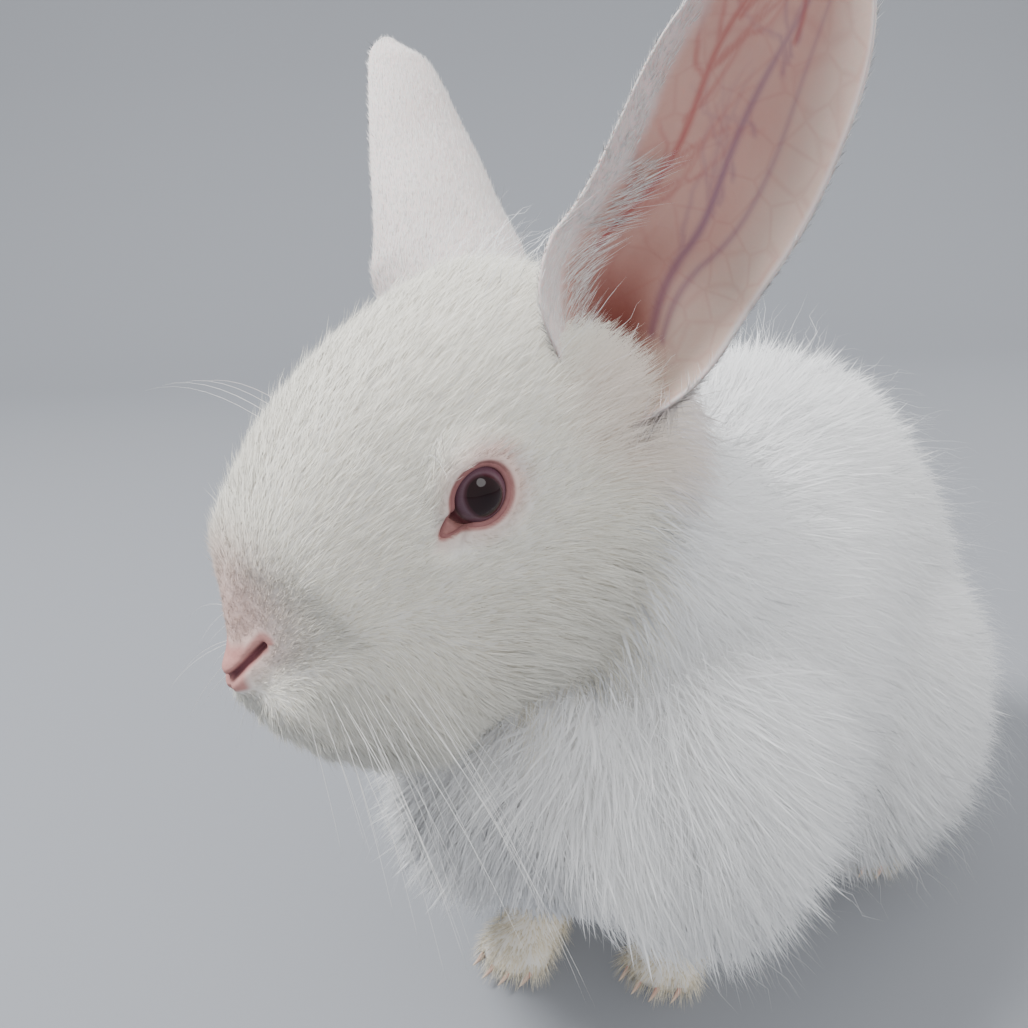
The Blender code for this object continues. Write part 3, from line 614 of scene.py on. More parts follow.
def refine(obj, regions):
    """Splits the faces of the skin where the face's small forms need them."""
    sheet = bmesh.new()
    sheet.from_mesh(obj.data)
    regions = [(Vector((centre + SHIFT) * MM), reach * MM) for centre, reach in regions]
    for middle, reach in regions:
        near = [edge for edge in sheet.edges if (edge.verts[0].co - middle).length < reach]
        bmesh.ops.subdivide_edges(sheet, edges=near, cuts=1, use_grid_fill=True)
    close = [v for v in sheet.verts if any((v.co - m).length < reach for m, reach in regions)]
    for _ in range(4):
        bmesh.ops.smooth_vert(
            sheet, verts=close, factor=0.5, use_axis_x=True, use_axis_y=True, use_axis_z=True
        )
    bmesh.ops.triangulate(sheet, faces=[f for f in sheet.faces if len(f.verts) > 4])
    sheet.to_mesh(obj.data)
    sheet.free()


def lid_reach(angle):
    """How far the opening between the lids reaches, drawn out to the corner by the nose."""
    corner = np.cos(angle - LID_CORNER)
    return LID_HALF[1] + (LID_HALF[0] - LID_HALF[1]) * np.cos(angle) ** 2 + LID_POINT * (
        np.maximum(0, corner) ** 36
    )


def lid_height(reach):
    """How far out the lids' edge lies, on the eyeball."""
    inside = np.maximum(EYEBALL_RADIUS**2 - np.minimum(reach, EYEBALL_RADIUS * 0.95) ** 2, 0.1)
    return EYE_RADIUS - EYEBALL_RADIUS + np.sqrt(inside) + 0.35 - 0.25 * np.maximum(0, reach - 8)


def eye_local(points, side):
    """Places in an eye's own frame: towards the nose, up and out."""
    centre, out, _, up, fore = eye_frame(side)
    d = points - centre
    return d @ fore, d @ up, d @ out, out


def shape_lids(points):
    """Draws the skin to the lids: a raised rim, an open socket and the crease behind it."""
    bare = np.zeros(len(points))
    for side in (1, -1):
        f, y, z, out = eye_local(points, side)
        reach = np.hypot(f, y)
        angle = np.arctan2(y, f)
        edge = lid_reach(angle)
        gap = reach - edge
        near = (gap < 10) & (z > -6) & (z < 16)
        rim = lid_height(edge)
        upper = ease(-0.3, 0.8, np.sin(angle))
        ring = rim + (0.9 + 0.7 * upper) * ease(0, 1.8, gap)
        aim = ring + (z - ring) * ease(2.2, 9.5, gap)
        aim -= 0.8 * np.exp(-(((gap - 4.2) / 1.3) ** 2)) * ease(0.3, -0.6, np.cos(angle))
        socket = 0.6 + 5.4 * ease(10.2, 8.2, reach)
        aim = np.where(gap < 0, rim + np.maximum(gap * 3.2, -socket), aim)
        points[near] += (aim - z)[near, None] * out
        lid = ease(2.1, 1.1, gap) * near
        bare = np.maximum(bare, lid)
    return bare


def nostril_off(b, t):
    """How far a place on the muzzle's front is from the nearer nostril's slit."""
    b = np.abs(b)
    u = np.clip((b - 1.0) / 8.0, 0, 1)
    rise = t - NOSTRIL_UP - (4.2 * u**1.1 - 2.2)
    return np.hypot(b - (1.0 + 8.0 * u), rise), rise


def mouth_off(b, t):
    """How far a place on the muzzle's front is from the split lip and the mouth's line."""
    b = np.abs(b)
    low = NOSE_PLACE[2] - 14.5
    split = np.hypot(b, np.maximum(0, np.maximum(t - (NOSTRIL_UP - 5), low - t)))
    u = np.clip(b / 15, 0, 1)
    line = low - 1.5 - 8.5 * u**0.8
    return split, np.hypot(np.maximum(0, b - 15), t - line)


def shape_nose(points):
    """Presses nostrils, split lip and mouth into the muzzle, says where it is bare, and where
    painted shade darkens its slits.
    """
    s, b, t = in_head(points)
    front = ease(50, 60, s)
    off, rise = nostril_off(b, t)
    split, line = mouth_off(b, t)
    up = t - NOSTRIL_UP
    wing = np.exp(-(((np.abs(b) - 6.0) / 3.0) ** 2) - ((rise - 2.6) / 2.2) ** 2)
    slit = 1.4 - 0.7 * ease(4, 9, np.abs(b))
    press = 3.2 * np.exp(-((off / slit) ** 2)) - 1.2 * wing
    press += NOSE_FALL * ease(0, 9, np.abs(b)) * ease(-12, -3, up) * ease(30, 6, up)
    press += 2.0 * np.exp(-((split / 0.75) ** 2)) + 2.4 * np.exp(-((line / 1.0) ** 2))
    press -= 0.9 * np.exp(-(((line - 2.4) / 1.4) ** 2)) * (t > NOSE_PLACE[2] - 30)
    points -= (front * press)[:, None] * S_WAY
    pad = ease(4.6, 2.6, off) * (rise > 0) + ease(2.5, 1.3, off) * (rise <= 0)
    centre = ease(6.5, 4.5, np.abs(b)) * ease(-6.5, -5, up) * ease(5, 2.5, up)
    lips = np.maximum(ease(1.5, 0.8, split), 0.6 * ease(1.5, 0.8, line))
    bare = np.maximum(np.maximum(pad, centre), lips) * front
    # Painted shade: the skin darkens inside the nostrils' slits, the split lip and the mouth's line.
    deep = np.maximum(ease(1.7, 0.4, off), 0.6 * ease(0.9, 0.3, np.minimum(split, line))) * front
    return bare, deep


def lid_rims():
    """The smooth bare edges of the lids."""
    rims = Solid()
    angle = np.linspace(0, 2 * np.pi, 96, endpoint=False)
    for side in (1, -1):
        centre, out, _, up, fore = eye_frame(side)
        edge = lid_reach(angle)
        flat = np.cos(angle)[:, None] * fore + np.sin(angle)[:, None] * up
        spine = centre + flat * (edge + 0.25)[:, None] + out * (lid_height(edge) - 0.1)[:, None]
        spin = np.linspace(0, 2 * np.pi, 10, endpoint=False)
        made = []
        for k in spin:
            made.append(spine + flat * 0.8 * math.cos(k) + out * 0.55 * math.sin(k))
        points = np.stack(made, axis=1).reshape(-1, 3)
        n, m = len(angle), len(spin)
        faces = []
        for i in range(n):
            for k in range(m):
                a, b = i * m + k, i * m + (k + 1) % m
                c, d = (i + 1) % n * m + (k + 1) % m, (i + 1) % n * m + k
                faces.append((a, b, c, d))
        rims.add(points, faces)
    return rims


def unwrap(obj):
    """A UV map of the object's own shape, cut into islands at its steep turns."""
    bpy.context.view_layer.objects.active = obj
    for other in bpy.context.selected_objects:
        other.select_set(False)
    obj.select_set(True)
    bpy.ops.object.mode_set(mode="EDIT")
    bpy.ops.mesh.select_all(action="SELECT")
    bpy.ops.uv.smart_project(angle_limit=math.radians(70), island_margin=0.004)
    bpy.ops.object.mode_set(mode="OBJECT")
    obj.data.uv_layers[0].name = "OFBake"


# The ears and eyes.


def ear_ways(side):
    """An ear's own directions: to its tip, the way it opens, and across."""
    out, back = EAR_LEANS[side]
    turned = turn_about("Z", HEAD_TURN)
    rise = (side * math.sin(out), math.sin(back) * math.cos(out), math.cos(out) * math.cos(back))
    up_way = turned @ np.array(rise)
    front = turned @ np.array(EAR_FACES[side])
    front = unit(front - (front @ up_way) * up_way)
    return up_way, front, unit(np.cross(front, up_way))


def ear_sheet(u, v, side):
    """Points of an ear's middle surface and its outward ways: u from root to tip, v across."""
    up_way, front, across = ear_ways(side)
    flare = np.exp(-(((u - 0.22) / 0.15) ** 2))
    half_turn = np.radians(
        152 - 98 * np.minimum(1, u / 0.34) ** 0.75 - 20 * np.maximum(0, (u - 0.34) / 0.66)
    )
    rounded = np.sqrt(1 - (np.maximum(0, u - 0.45) / 0.55) ** 2.35)
    width = EAR_WIDTH * (0.86 + 0.18 * np.minimum(1, u / 0.45) + 0.3 * flare) * rounded
    width = width * (1 - 0.3 * ease(0.35, 0.85, u) if side < 0 else 1.04)
    width = np.maximum(width, 1.5)
    radius = width / 2 / half_turn
    angle = v * half_turn + side * EAR_SWING * flare
    lift = radius - 6 * np.minimum(1, u / 0.3) * (1 - u) - 2
    lift = lift - 3 * np.sin(np.pi * u) - 5 * u**2
    if side < 0:
        lift = lift + 5 * ease(0.88, 1.0, u)
    way = across * np.sin(angle)[..., None] - front * np.cos(angle)[..., None]
    root = head_place(EAR_ROOT[0], side * EAR_ROOT[1], EAR_ROOT[2])
    spine = root + up_way * (EAR_LENGTHS[side] * u)[..., None] + front * lift[..., None]
    low, high = EAR_IN[side]
    spine = spine - side * B_WAY * (low + (high - low) * ease(0, 0.6, u))[..., None]
    return spine + way * radius[..., None], way


def vein_lines(rng):
    """Branching lines over an ear's inside, as (u, v, width) points."""
    red, blue = [], []
    trunk = np.linspace(0.16, 0.88, 60)
    blue.append(np.stack([trunk, 0.16 + 0.10 * np.sin(trunk * 7), 1.5 - trunk], axis=1))
    blue.append(np.stack([trunk, 0.42 - 0.05 * np.sin(trunk * 9), 0.9 - 0.6 * trunk], axis=1))
    edge = np.linspace(0.30, 0.90, 60)
    red.append(np.stack([edge, -0.42 + 0.05 * np.sin(edge * 14), 1.1 - 0.5 * edge], axis=1))
    arc = np.linspace(0, np.pi, 40)
    bend = np.stack([0.80 + 0.10 * np.sin(arc), -0.12 - 0.30 * np.cos(arc), 0 * arc + 0.6], axis=1)
    red.append(bend)
    for lines, start, count, lean in ((red, -0.42, 12, 1), (blue, 0.2, 12, -1), (red, -0.45, 7, -1)):
        for _ in range(count):
            u, v = 0.32 + 0.55 * rng.random(), start
            turn = lean * (0.5 + 0.7 * rng.random())
            path = []
            for k in range(26):
                path.append((u, v, 0.55 * (1 - k / 30)))
                u += 0.010 * math.cos(turn) * 1.3
                v += 0.030 * math.sin(turn)
                turn += 0.22 * rng.normal() - 0.03 * lean
            lines.append(np.array([q for q in path if q[0] < 0.95 and abs(q[1]) < 0.9]))
    return red, blue


def line_share(lines, u, v):
    """1 on the lines, falling to 0 beside them."""
    share = np.zeros(u.shape)
    for line in lines:
        for (u0, v0, w0), (u1, v1, _) in zip(line[:-1], line[1:]):
            near = (np.abs(u - u0) < 0.05) & (np.abs(v - v0) < 0.16)
            if not near.any():
                continue
            x, y = (u[near] - u0) * EAR_LENGTHS[1], (v[near] - v0) * EAR_WIDTH / 2
            dx, dy = (u1 - u0) * EAR_LENGTHS[1], (v1 - v0) * EAR_WIDTH / 2
            k = np.clip((x * dx + y * dy) / max(dx * dx + dy * dy, 1e-9), 0, 1)
            off = np.hypot(x - k * dx, y - k * dy)
            made = np.minimum(1, w0) * np.exp(-((off / (0.45 + 0.5 * w0)) ** 2))
            share[near] = np.maximum(share[near], made)
    return share


def make_ear(name, side, material, rng):
    """One ear: a thin rolled shell that opens to a cup, with its own unwrap."""
    rows, columns = 150, 90
    row, column = np.linspace(0, 1, rows), np.linspace(-1, 1, columns)
    u, v = np.meshgrid(0.005 + 0.99 * np.sin(row * np.pi / 2), column, indexing="ij")
    middle, way = ear_sheet(u, v, side)
    flesh = EAR_THICK * (1.15 - 0.55 * u) * (1 - 0.6 * np.abs(v) ** 3)
    ridge = 0.5 * np.exp(-(((v - 0.16) / 0.05) ** 2)) * ease(0.1, 0.3, u)
    wobble = ripple(middle.reshape(-1, 3), 24, 5).reshape(u.shape) * 0.8
    middle = middle + way * (wobble * ease(0.05, 0.3, u))[..., None]
    outer = middle + way * (flesh / 2)[..., None]
    inner = middle - way * (flesh / 2 + ridge * 0.5)[..., None]
    points = np.concatenate([outer.reshape(-1, 3), inner.reshape(-1, 3)])
    i, j = np.meshgrid(np.arange(rows - 1), np.arange(columns - 1), indexing="ij")
    a = (i * columns + j).ravel()
    b, c, d = a + 1, a + columns + 1, a + columns
    n = rows * columns
    faces = [np.stack([a, b, c, d], 1), np.stack([a + n, d + n, c + n, b + n], 1)]
    loop = list(range(columns)) + [k * columns + columns - 1 for k in range(1, rows)]
    loop += [(rows - 1) * columns + k for k in range(columns - 2, -1, -1)]
    loop += [k * columns for k in range(rows - 2, 0, -1)]
    loop = np.array(loop)
    after = np.roll(loop, -1)
    faces.append(np.stack([after, loop, loop + n, after + n], 1))
    made = new_mesh(name, points, np.concatenate(faces))
    face_outward(made)
    red, blue = vein_lines(rng)
    m = side * v
    inside = np.concatenate([np.zeros(n), np.ones(n)])
    uneven = ripple(middle.reshape(-1, 3), 9, 8).reshape(u.shape)
    band = ease(0.60, 0.88, m + 0.06 * uneven + 0.22 * (0.4 - u))
    rim = np.maximum(ease(-0.25, -0.85, m) * 0.8, ease(0.5, 0.06, u) * ease(-0.1, -0.6, m))
    # Painted shade: darkest deep in the cup, down by the canal.
    canal_shade = ease(0.46, 0.12, u) * ease(0.62, 0.1, np.abs(m - 0.12))
    for held, values in (
        ("canal_shade", canal_shade), ("rim", rim),
        ("red_vein", 0.85 * line_share(red, u, -m)),
        ("blue_vein", 0.8 * line_share(blue, u, -m)),
    ):
        give(made, held, np.tile(values.ravel(), 2))
    edge = ease(0.93, 0.99, np.abs(v)).ravel()
    white = np.maximum(np.tile(edge, 2), np.tile((band * ease(1.0, 0.7, u)).ravel(), 2))
    give(made, "inner", inside * (1 - white))
    flat = np.stack([(v + 1) / 2 * 0.46 + 0.02, u * 0.96 + 0.02], axis=-1).reshape(-1, 2)
    flat = np.concatenate([flat, flat + (0.5, 0)])
    corners = read(made.data.loops, "vertex_index", 1, np.int32)
    layer = made.data.uv_layers.new(name="OFBake")
    layer.data.foreach_set("uv", flat[corners].astype(np.float32).ravel())
    return finish_piece(made, material, "ear_skin", "ear_left" if side > 0 else "ear_right")


def make_eye(name, side, material):
    """One eyeball with the bulge of its cornea."""
    centre, out, _, up, fore = eye_frame(side)
    rings, sides = 60, 72
    tilt = np.linspace(0, np.pi, rings + 1)[1:-1, None]
    spin = np.linspace(0, 2 * np.pi, sides, endpoint=False)[None]
    radius = EYEBALL_RADIUS + 0.5 * np.exp(-((tilt / 0.62) ** 4))
    apex = EYE_RADIUS - EYEBALL_RADIUS - 0.35
    flat = (np.sin(tilt) * radius)[..., None] * (
        np.cos(spin)[..., None] * fore + np.sin(spin)[..., None] * up
    )
    ball = centre + flat + ((np.cos(tilt) * radius + apex) * np.ones_like(spin))[..., None] * out
    poles = np.stack([centre + out * (radius[0, 0] + apex), centre + out * (apex - EYEBALL_RADIUS)])
    points = np.concatenate([ball.reshape(-1, 3), poles])
    faces = []
    n = rings - 1
    for i in range(n - 1):
        for k in range(sides):
            a, b = i * sides + k, i * sides + (k + 1) % sides
            faces.append((a, a + sides, b + sides, b))
    for k in range(sides):
        a, b = k, (k + 1) % sides
        faces.append((a, b, n * sides))
        faces.append((b + (n - 1) * sides, a + (n - 1) * sides, n * sides + 1))
    made = new_mesh(name, points, faces)
    face_outward(made)
    reach = np.sin(tilt) * radius
    long = np.hypot(np.cos(spin) * 1.22, np.sin(spin) * 1.0)
    blend = ease(3.0, 6.5, reach)
    off = reach / EYE_RADIUS * (long * (1 - blend) + blend)
    off = np.where(tilt < np.pi / 2, off, 1.2)
    give(made, "off_axis", np.append(np.clip(off.ravel(), 0, 1), (0, 1)))
    give(made, "spin", np.append((np.abs(spin - np.pi) * np.ones_like(tilt)).ravel(), (0, 0)))
    return finish_piece(made, material, "ruby_eye", "eye_left" if side > 0 else "eye_right")


# The coat.


class Roots:
    """Points spread over a surface, with the way out of it and their place on its unwrap."""

    def __init__(self, obj, count, seed, density):
        mesh = obj.data
        mesh.calc_loop_triangles()
        corners = read(mesh.loop_triangles, "vertices", 3, np.int32)
        loops = read(mesh.loop_triangles, "loops", 3, np.int32)
        points = places(obj)
        normals = read(mesh.vertices, "normal", 3).astype(float)
        flat = read(mesh.uv_layers["OFBake"].data, "uv", 2).astype(float)
        a, b, c = (points[corners[:, k]] for k in range(3))
        area = np.linalg.norm(np.cross(b - a, c - a), axis=1)
        middle = (a + b + c) / 3
        facing = unit(sum(normals[corners[:, k]] for k in range(3)))
        bare = np.zeros(len(points), np.float32)
        if "bare" in mesh.attributes:
            bare = read(mesh.attributes["bare"].data, "value")
        covered = np.clip(1 - 1.5 * bare[corners].mean(1), 0, 1)
        weight = area * density(middle, facing) * covered
        rng = np.random.default_rng(seed)
        pick = rng.choice(len(corners), count, p=weight / weight.sum())
        u, v = rng.random(count), rng.random(count)
        over = u + v > 1
        u[over], v[over] = 1 - u[over], 1 - v[over]
        mix = np.stack([1 - u - v, u, v], axis=1)[:, :, None]
        self.p = (points[corners[pick]] * mix).sum(1)
        self.n = unit((normals[corners[pick]] * mix).sum(1))
        self.uv = (flat[loops[pick]] * mix).sum(1)
        self.rng = rng

    def keep(self, wanted):
        """Drops the roots that aren't wanted."""
        self.p, self.n, self.uv = self.p[wanted], self.n[wanted], self.uv[wanted]


class Bare:
    """Points that carry hair and weren't picked from the skin, with their place on its unwrap."""

    def __init__(self, points, ways, rng):
        self.p, self.n, self.rng = points, ways, rng
        skin = bpy.data.objects["skin"]
        tree = BVHTree.FromObject(skin, bpy.context.evaluated_depsgraph_get())
        layer = skin.data.uv_layers["OFBake"].data
        self.uv = np.empty((len(points), 2))
        for i, point in enumerate((points + SHIFT) * MM):
            face = skin.data.polygons[tree.find_nearest(Vector(point))[2]]
            self.uv[i] = layer[face.loop_start].uv


def head_share(p):
    """1 on the head, falling to 0 behind it."""
    point, way = np.array(HEAD_CUT[0], float), unit(HEAD_CUT[1])
    _, _, t = in_head(p)
    return ease(-14, 8, (p - point) @ way) * ease(-76, -62, t)


def leg_share(p):
    """1 on the feet and legs, falling to 0 in the wool."""
    share = np.zeros(len(p))
    for side in (1, -1):
        line = np.array(foreleg_line(side))[:, :3]
        for a, b in zip(line[:-1], line[1:]):
            along = np.clip(((p - a) @ (b - a)) / ((b - a) @ (b - a)), 0, 1)[:, None]
            off = np.linalg.norm(p - a - along * (b - a), axis=1)
            share = np.maximum(share, ease(24, 15, off) * ease(52, 34, p[:, 2]))
        ahead = ease(26, 18, np.abs(p[:, 0] - FORE_PAWS[side][0])) * ease(-40, -52, p[:, 1])
        share = np.maximum(share, ahead * ease(34, 24, p[:, 2]))
        x = np.abs(p[:, 0] - side * HIND_FOOT_X)
        share = np.maximum(share, ease(16, 12, x) * ease(24, 16, p[:, 2]) * ease(10, 16, p[:, 1]))
        share = np.maximum(share, ease(20, 14, x) * ease(50, 38, p[:, 2]) * ease(92, 104, p[:, 1]))
    return share


def coat_length(p, n):
    """How long the coat is at a point of the skin."""
    s, b, t = in_head(p)
    crown = ease(-6, 22, t) * ease(66, 20, s)
    cheek = ease(0, -30, t) * ease(62, 30, s) * ease(-40, 0, s + 30)
    ruff = ease(-22, -50, t) * ease(46, 12, s)
    chin = ease(-24, -44, t) * ease(40, 54, s)
    face = 5.2 + 3.0 * crown + 4.0 * cheek + 16.0 * ruff + 7 * chin
    face += 3 * ease(-20, -52, s) + 9 * ear_base_share(p)
    nose = ease(24, 8, np.hypot(b, t - NOSTRIL_UP - 5)) * ease(50, 64, s)
    face = face * (1 - 0.62 * nose) * (1 - 0.72 * eye_nearness(p))
    wool = 40 + 5 * ripple(p, 60, 3)
    wool *= (1 - 0.4 * ease(-0.35, -0.85, n[:, 2])) * (1 - 0.22 * ease(0.5, 0.9, -n[:, 1]))
    wool *= 1 - 0.45 * ease(34, 22, np.linalg.norm(p - np.array(TAIL_CENTRE), axis=1))
    wool *= 1 - 0.22 * ease(0.2, 0.8, n[:, 1]) * ease(120, 80, p[:, 2])
    wool *= 1 - 0.2 * ease(0.3, 0.9, np.abs(n[:, 0])) * ease(-60, -20, p[:, 1])
    wool *= 1 - 0.14 * ease(0.2, 0.7, n[:, 2]) * ease(-10, 30, p[:, 1])
    ahead = (p - np.array(HEAD_CUT[0])) @ unit(HEAD_CUT[1])
    wool *= 1 - 0.45 * ease(-60, 0, ahead) * ease(110, 140, p[:, 2])
    wool = np.minimum(wool, np.maximum(9, (p[:, 2] - 7) * 0.95 + 6))
    leg = 7.5 + 7 * ease(12, 46, p[:, 2])
    head, legs = head_share(p), leg_share(p)
    made = wool * (1 - head) + face * head
    return made * (1 - legs) + leg * legs


def ear_base_share(p):
    """1 behind and beside the ears' roots, falling to 0 round them."""
    share = np.zeros(len(p))
    s, b, _ = in_head(p)
    for side in (1, -1):
        off = np.linalg.norm(p - head_place(EAR_ROOT[0], side * EAR_ROOT[1], EAR_ROOT[2]), axis=1)
        round_it = np.maximum(ease(-40, -52, s), ease(30, 38, side * b))
        share = np.maximum(share, ease(34, 20, off) * round_it)
    return share


def blush_share(p):
    """How far the pink skin shows through the fur: at the nose, round the eyes and at the ears."""
    s, b, t = in_head(p)
    up = t - NOSTRIL_UP
    share = 0.75 * ease(30, 5, np.hypot(1.2 * b, up - 6)) * ease(46, 60, s) * ease(-9, 0, up)
    for side in (1, -1):
        f, y, z, _ = eye_local(p, side)
        gap = np.hypot(f, y) - lid_reach(np.arctan2(y, f))
        behind = 0.5 + 0.3 * ease(2, -8, f)
        share = np.maximum(share, behind * ease(8, 0.5, gap) * ease(-8, -3, z))
    return np.maximum(share, 0.3 * ear_base_share(p))


def wool_floor(p):
    """The height that the wool hangs down to: above the paws in front, lower along the flanks."""
    x, y = p[:, 0], p[:, 1]
    front = 47 - 0.41 * np.maximum(0, 25 - x) - 0.45 * np.maximum(0, x - 25)
    front = np.maximum(front, 22) + 0.65 * np.maximum(-20, -80 - y)
    return 7 + (front - 7) * ease(-44, -62, y) * ease(80, 60, np.abs(x))


def trim(paths, p):
    """Shortens the wool that would hang below its lower edge."""
    root, tip = paths[:, 0], paths[:, -1]
    low = wool_floor(tip) - 13 * np.random.default_rng(len(p)).random(len(p)) ** 1.6
    fall = np.maximum(root[:, 2] - tip[:, 2], 0.1)
    share = np.where(tip[:, 2] < low, np.clip((root[:, 2] - low) / fall, 0.2, 1), 1)
    share = 1 - (1 - share) * (1 - head_share(p))
    paths[:] = root[:, None] + (paths - root[:, None]) * share[:, None, None]


def coat_lie(p, n):
    """The way the coat lies along the skin: back from the nose, and back and down the body."""
    front, rear, out = np.maximum(0, -n[:, 1]), np.maximum(0, n[:, 1]), np.abs(n[:, 0])
    flow = np.stack(
        [0.25 * n[:, 0], 0.85 - 0.9 * front - 0.4 * rear, -0.25 - 0.55 * out - 1.0 * front - 0.9 * rear],
        axis=1,
    )
    s, _, t = in_head(p)
    hang = 0.75 * ease(0, -35, t) * ease(60, 10, s) + 1.6 * ease(4, -14, t) * ease(28, 48, s)
    back = -S_WAY + np.stack([0 * s, 0 * s, -hang], axis=1)
    head = head_share(p)[:, None]
    flow = flow * (1 - head) + back * head
    legs = leg_share(p)[:, None]
    flow = flow * (1 - legs) + np.array((0, -0.5, -1.0)) * legs
    flow = unit(flow - (flow * n).sum(1, keepdims=True) * n)
    for side in (1, -1):
        f, y, z, out = eye_local(p, side)
        _, _, _, up, fore = eye_frame(side)
        reach = np.hypot(f, y)
        away = unit(f[:, None] * fore + y[:, None] * up)
        near = ease(11, 2, reach - lid_reach(np.arctan2(y, f))) * ease(-8, -3, z)
        inward = np.maximum(0, -(flow * away).sum(1)) * near
        flow = flow + away * (inward * 1.15)[:, None]
    return unit(flow - (flow * n).sum(1, keepdims=True) * n)


def eye_nearness(p):
    """1 at the lids' edge, falling to 0 in the fur round them."""
    near = np.zeros(len(p))
    tip = LID_HALF[0] + LID_POINT - 1
    for side in (1, -1):
        f, y, z, _ = eye_local(p, side)
        gap = np.hypot(f, y) - lid_reach(np.arctan2(y, f))
        corner = np.hypot(f - tip * math.cos(LID_CORNER), y - tip * math.sin(LID_CORNER))
        gap = np.minimum(gap, corner - 2.8)
        near = np.maximum(near, ease(8, 0.5, gap) * ease(-8, -3, z))
    return near


def spikes(name, paths, widths, roots, material, slot, seed=0, soft=True, flat=0.42):
    """Closed tapered hairs along paths, one mesh, each on its own small patch of the unwrap."""
    # Each ring of a hair has three points: two at its edges and one raised between them.
    sides, uv = 3, roots.uv
    count, steps, _ = paths.shape
    straight = steps == 2
    first, rings = (0, 1) if straight else (1, steps - 2)
    way = np.empty_like(paths)
    way[:, 1:-1] = paths[:, 2:] - paths[:, :-2]
    way[:, 0] = paths[:, 1] - paths[:, 0]
    way[:, -1] = paths[:, -1] - paths[:, -2]
    way = unit(way)
    rng = np.random.default_rng(seed + 9000)
    facing = roots.n + rng.normal(size=(count, 3)) * 0.35
    way, wide = way[:, first : first + rings], widths[:, first : first + rings, None]
    across = unit(np.cross(way, facing[:, None] + 0 * way))
    up = np.cross(across, way)
    size = rings * sides + (1 if straight else 2)
    points = np.empty((count, size, 3))
    for k, (x, y) in enumerate(((-0.5, 0.0), (0.5, 0.0), (0.0, flat))):
        offset = (across * x + up * y) * wide
        points[:, k : rings * sides : sides] = paths[:, first : first + rings] + offset
    points[:, rings * sides] = paths[:, -1]
    if straight:
        faces = [(0, 1, 2)]
    else:
        points[:, -1] = paths[:, 0]
        faces = [(k, (k + 1) % sides, size - 1) for k in range(sides)]
    for i in range(rings - 1):
        for k in range(sides):
            a, b = i * sides + k, i * sides + (k + 1) % sides
            faces += [(a, b + sides, b), (a, a + sides, b + sides)]
    last = (rings - 1) * sides
    faces += [(last + (k + 1) % sides, last + k, rings * sides) for k in range(sides)]
    faces = np.array(faces)
    # Every hair has the same faces, so one set is repeated over all of them.
    all_faces = (faces[None] + (np.arange(count) * size)[:, None, None]).reshape(-1, 3)
    made = new_mesh(name, points.reshape(-1, 3), all_faces)
    rise = (np.arange(rings) + first) / (steps - 1)
    share = np.append(np.repeat(rise, sides), (1.0,) if straight else (1.0, 0.0))
    spin = np.append(np.tile(np.arange(sides) / sides, rings), (0.5,) if straight else (0.5, 0.5))
    give(made, "along", np.tile(share, count))
    # The hair's whole unwrap lies on a small patch at its root's place.
    patch = np.stack([spin - 0.5, share - 0.5], axis=1) * HAIR_PATCH
    corner = (uv[:, None] + patch[None]).reshape(-1, 2)[all_faces.ravel()]
    layer = made.data.uv_layers.new(name="OFBake")
    layer.data.foreach_set("uv", corner.astype(np.float32).ravel())
    give(made, "shade", np.repeat(rng.random(count), size))
    give(made, "blush", np.repeat(blush_share(roots.p), size))
    if soft:
        ways = unit(roots.n + rng.normal(size=(count, 3)) * 0.2)
        made.data.normals_split_custom_set_from_vertices(np.repeat(ways, size, axis=0))
    return finish_piece(made, material, slot)


def grow_hair(roots, lengths, lift, settle, width, steps, frizz, clumps=(), loose_by=0.16):
    """Paths of hairs: out of the skin at a lift, laid over along the coat, a little loose."""
    p, n, rng = roots.p, roots.n, roots.rng
    count = len(p)
    lie = coat_lie(p, n)
    drift = np.stack([ripple(p, 34, seed) for seed in (21, 22, 23)], axis=1)
    drift = drift * (0.3 * (1 - np.maximum(head_share(p), leg_share(p))))[:, None]
    lie = unit(lie + drift - (drift * n).sum(1, keepdims=True) * n)
    loose = rng.normal(size=(count, 3))
    loose -= (loose * n).sum(1, keepdims=True) * n
    wave = rng.normal(size=(count, 3)) * frizz
    marks = np.linspace(0, 1, steps + 1)
    here = p - n * 0.3
    paths = [here]
    down = np.array((0, 0, -1.0))
    for i in range(steps):
        middle = (marks[i] + marks[i + 1]) / 2
        angle = lift * (1 - middle) + settle * middle
        way = n * np.sin(angle)[:, None] + lie * np.cos(angle)[:, None]
        way = way + loose * loose_by + wave * math.cos(2.4 * i) + down * 0.22 * middle
        here = here + unit(way) * (lengths * (marks[i + 1] - marks[i]))[:, None]
        paths.append(here)
    paths = np.stack(paths, axis=1)
    for every, pull in clumps:
        gather(paths, p, rng, every, pull)
    paths[:, :, 2] = np.maximum(paths[:, :, 2], FLOOR_CLEAR + 0.4 * rng.random((count, 1)))
    taper = 1 - marks**1.6 * 0.9
    widths = width * taper[None] * (0.8 + 0.4 * rng.random((count, 1)))
    return paths, widths


def gather(paths, p, rng, every, pull):
    """Draws the hairs' tips together into soft locks, one for so many hairs."""
    leads = rng.choice(len(p), max(1, len(p) // every), replace=False)
    tree = KDTree(len(leads))
    for i, lead in enumerate(leads):
        tree.insert(p[lead], i)
    tree.balance()
    nearest = np.array([tree.find(q)[1] for q in p])
    lead = leads[nearest]
    steps = paths.shape[1]
    off = p - p[lead]
    strength = pull * (0.6 + 0.8 * rng.random(len(p)))
    for i in range(1, steps):
        share = (strength * (i / (steps - 1)) ** 1.3)[:, None]
        aim = paths[lead, i] + off * 0.25
        paths[:, i] += (aim - paths[:, i]) * np.clip(share, 0, 0.92)


# Settings.


